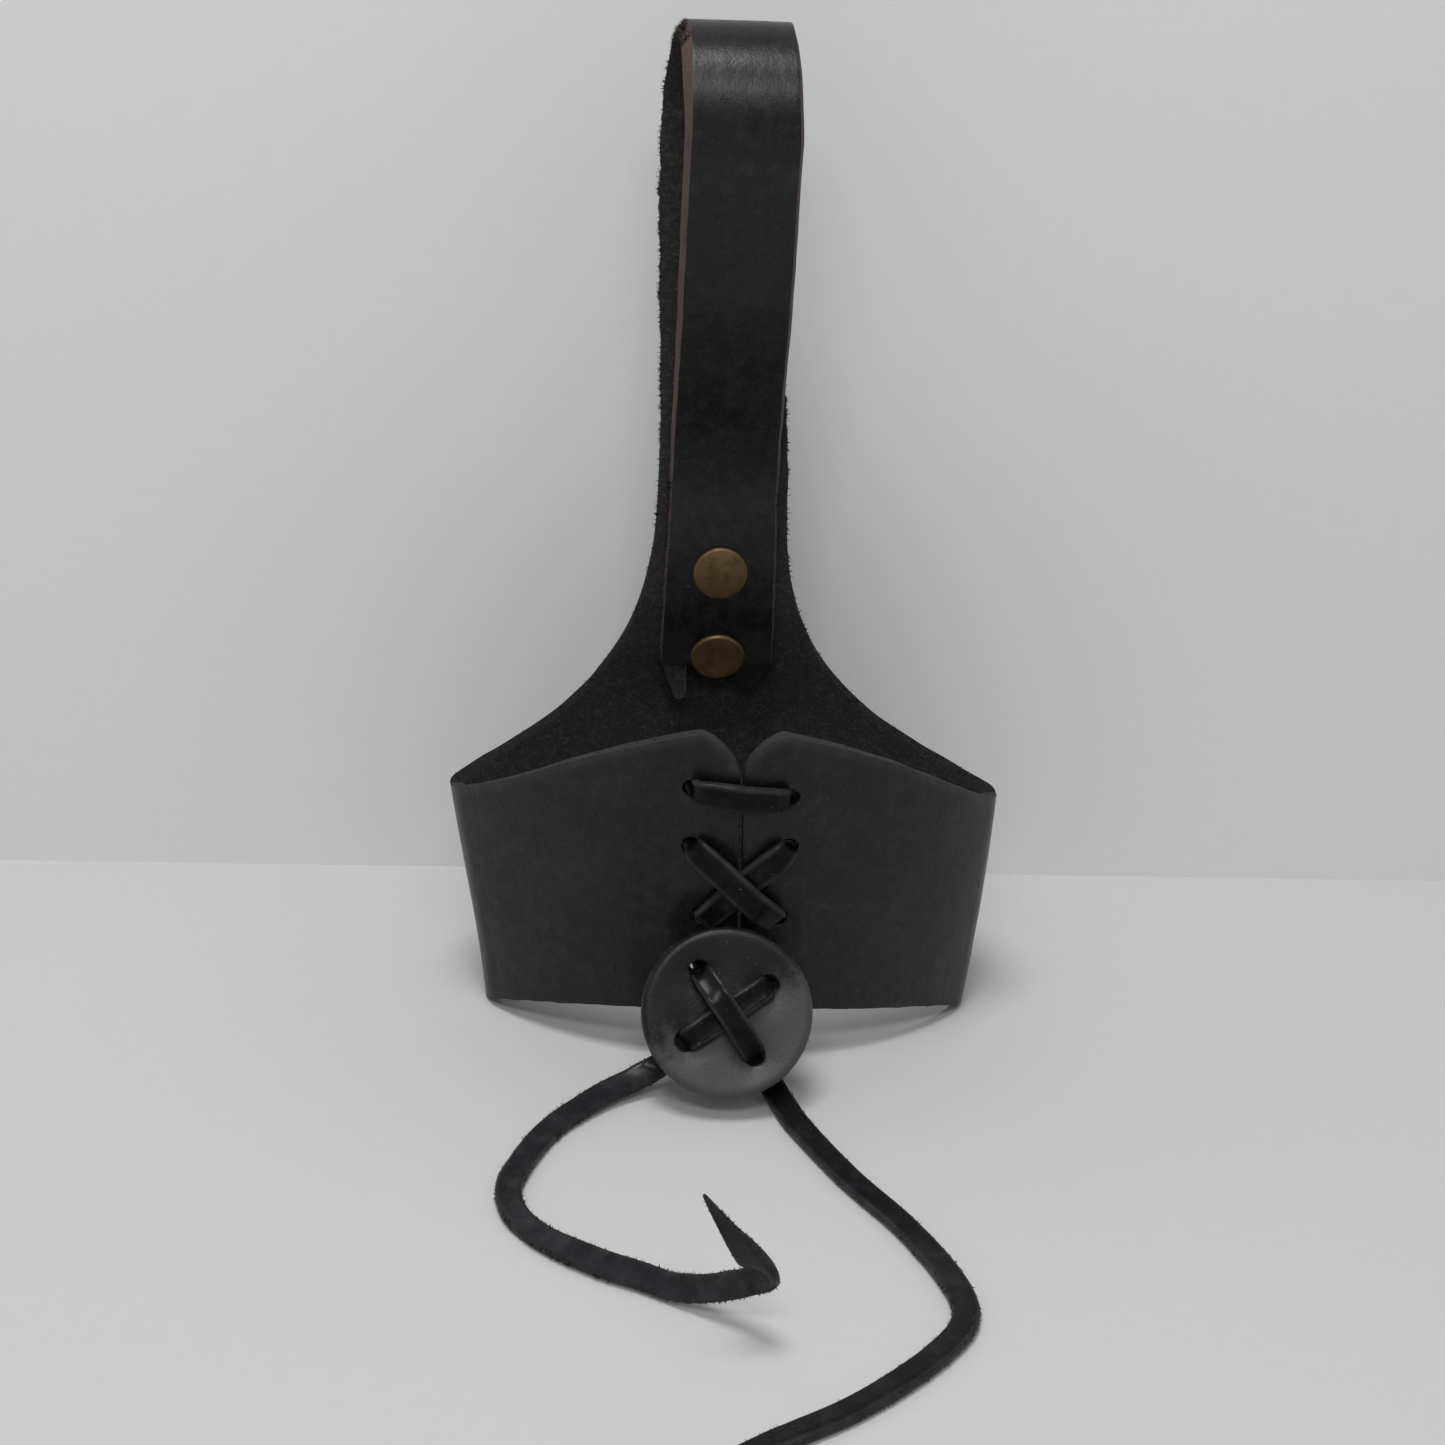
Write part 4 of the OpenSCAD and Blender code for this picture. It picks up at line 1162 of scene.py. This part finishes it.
class FROG_OT_wings(FrogOperator, bpy.types.Operator):
    """Forms the two wings, which bend from the back panel round to the seam"""

    bl_idname = "frog.wings"
    bl_label = "Wings"

    columns, rows = 84, 56
    fibre_count = 500

    def build(self, form, looks):
        self.wing(form, looks, -1, "left")
        self.wing(form, looks, 1, "right")

    def wing(self, form, looks, side, name):
        bm = bmesh.new()
        holes = [form.hole(side, row) + form.place for row in (1, 2, 3, 4)]
        axis = Vector((0, 1, 0))

        def cut(i, j):
            at = form.wing_point(side, i / self.columns, j / self.rows, 0) + form.place
            return any(math.hypot(at.x - h.x, at.z - h.z) < form.hole_radius for h in holes)

        def place(off):
            return lambda i, j: self.settled(
                form.wing_point(side, i / self.columns, j / self.rows, off) + form.place, holes)
        for off, finish in ((form.half, GRAIN), (-form.half, FLESH)):
            formed_grid(bm, self.columns, self.rows, place(off), finish, cut)
        for hole in holes:
            round_hole(bm, hole, axis, form.hole_radius)
        closed_sheet(bm, form.edge_round, form.on_side_line)
        # Paints a pale highlight along the top edge.
        self.rubbed_top(bm, holes)
        fibres = frayed(cut_faces(bm), self.fibre_count, form.fray * 0.5, 20 + side)
        body = name + "_wing"
        formed = finished("formed_wing_" + name, bm, sheet_finishes(looks))
        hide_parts("leather_wing_" + name)
        for obj in (formed, finished("frayed_wing_" + name, fibres, [loose_fibres(looks)])):
            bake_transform(obj, "back", body, (0, form.place.y, 0), (0, form.place.y - form.flex_reach, 0))

    def rubbed_top(self, bm, holes):
        """Marks the leather next to the top edge, where a pale highlight is painted."""
        tops = [f.calc_center_median() for f in cut_faces(bm) if f.normal.z > 0.3]
        tops = [p for p in tops if min((p - h).length for h in holes) > 0.004]
        tree = kdtree.KDTree(len(tops))
        for i, p in enumerate(tops):
            tree.insert(p, i)
        tree.balance()
        rub = bm.verts.layers.float.new("rub")
        for v in bm.verts:
            v[rub] = math.exp(-(tree.find(v.co)[2] / 0.0014) ** 2)

    def settled(self, p, holes):
        """The leather dips a little round each lace hole."""
        p = relaxed(p)
        for h in holes:
            d = math.hypot(p.x - h.x, p.z - h.z)
            p.y += 0.0006 * math.exp(-((d - 0.002) / 0.0032) ** 2)
        return p


class FROG_OT_rivets(FrogOperator, bpy.types.Operator):
    """Spins the caps and the posts of the two rivets"""

    bl_idname = "frog.rivets"
    bl_label = "Rivets"

    def build(self, form, looks):
        for name, z in (("upper", form.rivet_height), ("lower", form.lower_rivet)):
            lean = math.pi / 2 - math.atan(form.panel_rate(z))
            mid = form.panel_y(z) - (form.leather + form.layer_gap) / 2 * form.slant(z)
            at = Vector((form.drift(z), mid, z))
            seat = Matrix.Translation(at + form.place) @ Matrix.Rotation(lean, 4, "X")
            top = form.stack / 2 + form.seat_gap
            cap = self.dome(form, form.cap_dome) + [(0, 0)]
            self.spun("rivet_cap_" + name, cap, seat @ Matrix.Translation((0, 0, top)), looks)
            socket = form.stack + form.cap_dome * 0.6
            post = self.dome(form, form.base_dome) + [
                (form.post_width / 2, 0), (form.post_width / 2, -socket), (0, -socket)]
            turned = seat @ Matrix.Translation((0, 0, -top)) @ Matrix.Rotation(math.pi, 4, "X")
            self.spun("rivet_post_" + name, post, turned, looks)

    def dome(self, form, tall):
        """Outline of a cap from its crown round a rolled rim to its underside."""
        r, rim = form.rivet_width / 2, tall * 0.36
        crown = [(x * (r - rim), tall - tall * 0.3 * x * x) for x in (0, 0.2, 0.4, 0.6, 0.75, 0.88, 0.96)]
        shoulder = tall * 0.7 - rim
        roll = [(r - rim + rim * math.cos(math.radians(a)), shoulder + rim * math.sin(math.radians(a)))
                for a in (75, 55, 35, 15, 0)]
        return crown + roll + [(r, rim * 0.5), (r - rim * 0.3, 0.0), (r - rim, 0.0)]

    def spun(self, name, outline, place, looks):
        bm = bmesh.new()
        verts = [bm.verts.new((x, 0, z)) for x, z in outline]
        edges = [bm.edges.new(pair) for pair in zip(verts, verts[1:])]
        bmesh.ops.spin(bm, geom=verts + edges, cent=(0, 0, 0), axis=(0, 0, 1), angle=2 * math.pi, steps=64,
                       use_merge=True)
        bmesh.ops.remove_doubles(bm, verts=bm.verts, dist=1e-6)
        bmesh.ops.transform(bm, matrix=place, verts=bm.verts)
        for v in bm.verts:
            v.co += noise.noise_vector(v.co * 260) * 0.00006
        carried(finished("spun_" + name, bm, [antique_brass(looks)]), "back", "antique_brass", name)


class FROG_OT_lacing(FrogOperator, bpy.types.Operator):
    """Laces the wings together and leads the lace to the button"""

    bl_idname = "frog.lacing"
    bl_label = "Lacing"

    def build(self, form, looks):
        self.upper(form, looks, -1, "left", 1)
        self.upper(form, looks, 1, "right", 0)
        for side, name, level in ((-1, "left", 0), (1, "right", 1)):
            hole, aslant = form.outside(side, 3), form.slope(side)
            sheath = mixed(hole, form.over_seam(form.cross_z, level), 0.5)
            behind = [(sheath, aslant), (hole, aslant), (form.inside(side, 3), form.across(side)),
                      (form.inside(side, 4), form.across(side)), (form.outside(side, 4), form.across(side))]
            self.strand(form, looks, "lace_lower_" + name, behind, name + "_wing", 40 + side,
                        form.sheath_share)
            self.lead(form, looks, side, name)

    def upper(self, form, looks, side, name, level):
        """The top bar, whose right half lies hidden in the left one, and a strand aslant over the seam."""
        fall = 1 if side < 0 else -1
        seam = form.over_seam(form.row_z(1), 0)
        over = form.over_seam(form.cross_z, level)
        along = form.strand_dir(fall)
        up, aslant = form.upright(), form.slope(fall)
        reach, sink = (0.85, 0.0) if level else (0.3, 0.00025)
        start = mixed(seam, form.outside(-side, 1), reach)
        sunk = Vector((0, sink - 0.0003, 0))
        route = [(start + sunk, up), (seam + sunk, up), (form.outside(side, 1) + sunk, up),
                 (form.inside(side, 1), form.across(side)), (form.inside(side, 2), form.across(side)),
                 (form.outside(side, 2), aslant)]
        flat = form.lace_width * 0.95
        if level:
            route += [(over + side * flat * along, aslant), (over - side * flat * along, aslant)]
        else:
            route.append((over, aslant))
        route += [(form.outside(-side, 3), aslant), (form.hole(-side, 3, 0.0, form.pull), form.across(-side))]
        self.strand(form, looks, "lace_upper_" + name, route, name + "_wing", 30 + side)

    def strand(self, form, looks, name, route, body, seed, share=1.0):
        line = [(relaxed(p + form.place), w) for p, w in stations(route, form.ease_reach)]
        holes = [form.hole(side, row, 0, form.pull) + form.place for side in (-1, 1) for row in (1, 2, 3, 4)]
        shares = pinched(line, holes, form.crossing_width)
        obj = tied_lace(form, looks, name, line, shares, seed, share)
        carried(obj, body, "lace_leather", name)

    def lead(self, form, looks, side, name):
        hole = form.button_hole(90 - side * 45)
        turned = math.copysign(1, hole[1] * side) * side
        wide = form.button_dir(hole[1] * turned, -hole[0] * turned)
        out = form.outside(side, 4)
        route = [(out, form.across(side)), (out - Vector((0, form.ease_reach, 0)), form.across(side)),
                 (form.on_button(hole, -form.lead_back - form.ease_reach), wide),
                 (form.on_button(hole, -form.lead_back), wide)]
        line = [(p + form.place, w) for p, w in stations(route, form.ease_reach)]
        near, far = line[0][0], line[-1][0]
        obj = tied_lace(form, looks, "lead_" + name, line, pinched(line, [near, far]), 50 + side)
        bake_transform(obj, "back", "button", near + (near - far) * 0.35, far)
        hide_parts("lead_" + name)


class FROG_OT_button(FrogOperator, bpy.types.Operator):
    """Cuts the lock button and stitches the lace across its face"""

    bl_idname = "frog.button"
    bl_label = "Lock button"

    around, rings = 112, 24
    fibre_count = 600

    def build(self, form, looks):
        self.disc(form, looks)
        self.stitch(form, looks, "stitch_over", 135, 1)
        self.stitch(form, looks, "stitch_under", 45, 0)

    def disc(self, form, looks):
        bm = bmesh.new()
        r, half = form.button_width / 2, form.button_thick / 2
        holes = [form.button_hole(a) for a in (45, 135, 225, 315)]
        soft = 0.0016
        radii = [(r - soft) * j / (self.rings - 5) for j in range(self.rings - 4)]
        radii += [r - soft * d for d in (0.62, 0.34, 0.15, 0.04, 0.0)]
        punched = form.hole_radius * 1.16

        def flat(i, j):
            angle = 2 * math.pi * i / self.around
            whole = math.floor(j)
            ring = mixed(radii[whole], radii[min(whole + 1, self.rings)], j - whole)
            return Vector((math.cos(angle), math.sin(angle))) * ring

        def cut(i, j):
            return any((flat(i, j) - h).length < punched for h in holes)

        def place(face):
            def put(i, j):
                p = flat(i, j)
                dish = 0.0010 * (p.length / r) ** 2 - 0.0006
                dip = sum(0.0009 * math.exp(-((p - h).length / 0.0042) ** 2) for h in holes) * (face > 0)
                rim = max(0.0, (p.length - r) / soft + 1)
                fall = soft * (1 - math.sqrt(max(0.0, 1 - rim * rim)))
                edge = 1 + 0.006 * stray(math.sin(i / self.around * 2 * math.pi), 0.7, 6)
                return Vector((p.x * edge, p.y * edge, face * (half - dip - fall) + dish))
            return put
        for face, finish in ((1, GRAIN), (-1, FLESH)):
            formed_grid(bm, self.around, self.rings, place(face), finish, cut)
        bmesh.ops.remove_doubles(bm, verts=bm.verts, dist=0.00002)
        for h in holes:
            round_hole(bm, Vector((h.x, h.y, 0)), Vector((0, 0, 1)), punched)
        closed_sheet(bm, 0.0003)
        # Painted light and shade: the face is lighter towards the lower right and darker along the stitches
        # near the centre.
        rub = bm.verts.layers.float.new("rub")
        for v in bm.verts:
            spread = min(abs(v.co.xy.dot(h)) / h.length for h in holes[:2])
            low_right = smooth(0.5 + (0.5 * v.co.x - v.co.y) / r)
            v[rub] = low_right * smooth(0.2 + max(spread, v.co.xy.length - 0.009) / 0.006)
        seat = Matrix.Translation(form.button_at + form.place) @ Matrix.Rotation(
            math.pi / 2 - form.button_tilt, 4, "X")
        bmesh.ops.transform(bm, matrix=seat, verts=bm.verts)
        fibres = frayed(cut_faces(bm), self.fibre_count, form.fray * 0.5, 31)
        finishes = [button_leather(looks), flesh_leather(looks), button_edge(looks)]
        carried(finished("cut_button", bm, finishes), "button", "button_leather", "lock_button")
        carried(finished("frayed_button", fibres, [button_edge(looks)]), "button", "button_leather")

    def stitch(self, form, looks, name, degrees, level):
        a, b = form.button_hole(degrees), form.button_hole(degrees + 180)
        wide = form.button_dir(a[1], -a[0])
        lift = form.stitch_lift + level * (form.lace_thick + form.skin_gap)
        bridge = 0.42 if level else 0.30
        c, d = a * (1 - form.pull / form.button_reach), b * (1 - form.pull / form.button_reach)
        route = [(form.on_button(c, -form.stitch_back), wide), (form.on_button(c, form.stitch_lift), wide),
                 (form.on_button(a * bridge, lift), wide), (form.on_button(b * bridge, lift), wide),
                 (form.on_button(d, form.stitch_lift), wide), (form.on_button(d, -form.stitch_back), wide)]
        line = [(p + form.place, w) for p, w in stations(route, form.ease_reach)]
        holes = [form.on_button(p, 0) + form.place for p in (c, d)]
        obj = tied_lace(form, looks, name, line, pinched(line, holes), 60 + level)
        carried(obj, "button", "lace_leather", name)


class FROG_PT_build(bpy.types.Panel):
    """Lists the frog's operators, sizes and colours"""

    bl_label = "Belt frog"
    bl_idname = "FROG_PT_build"
    bl_space_type = "VIEW_3D"
    bl_region_type = "UI"
    bl_category = "Frog"

    def draw(self, context):
        for operator in OPERATORS:
            self.layout.operator(operator.bl_idname)
        for group, holder in ((FrogSizes, context.scene.frog_sizes), (FrogFinish, context.scene.frog_finish)):
            column = self.layout.column()
            for name in group.__annotations__:
                column.prop(holder, name, text=name.replace("_", " ").capitalize())


OPERATORS = (FROG_OT_stage, FROG_OT_tails, FROG_OT_back, FROG_OT_wings, FROG_OT_rivets, FROG_OT_lacing,
             FROG_OT_button)
CLASSES = (FrogSizes, FrogFinish, *OPERATORS, FROG_PT_build)


def register():
    for cls in CLASSES:
        bpy.utils.register_class(cls)
    bpy.types.Scene.frog_sizes = PointerProperty(type=FrogSizes)
    bpy.types.Scene.frog_finish = PointerProperty(type=FrogFinish)


def unregister():
    del bpy.types.Scene.frog_finish
    del bpy.types.Scene.frog_sizes
    for cls in reversed(CLASSES):
        bpy.utils.unregister_class(cls)


def main():
    register()
    bpy.ops.frog.stage()
    bpy.ops.frog.tails()
    bpy.ops.frog.back()
    bpy.ops.frog.wings()
    bpy.ops.frog.rivets()
    bpy.ops.frog.lacing()
    bpy.ops.frog.button()


if __name__ == "__main__":
    main()
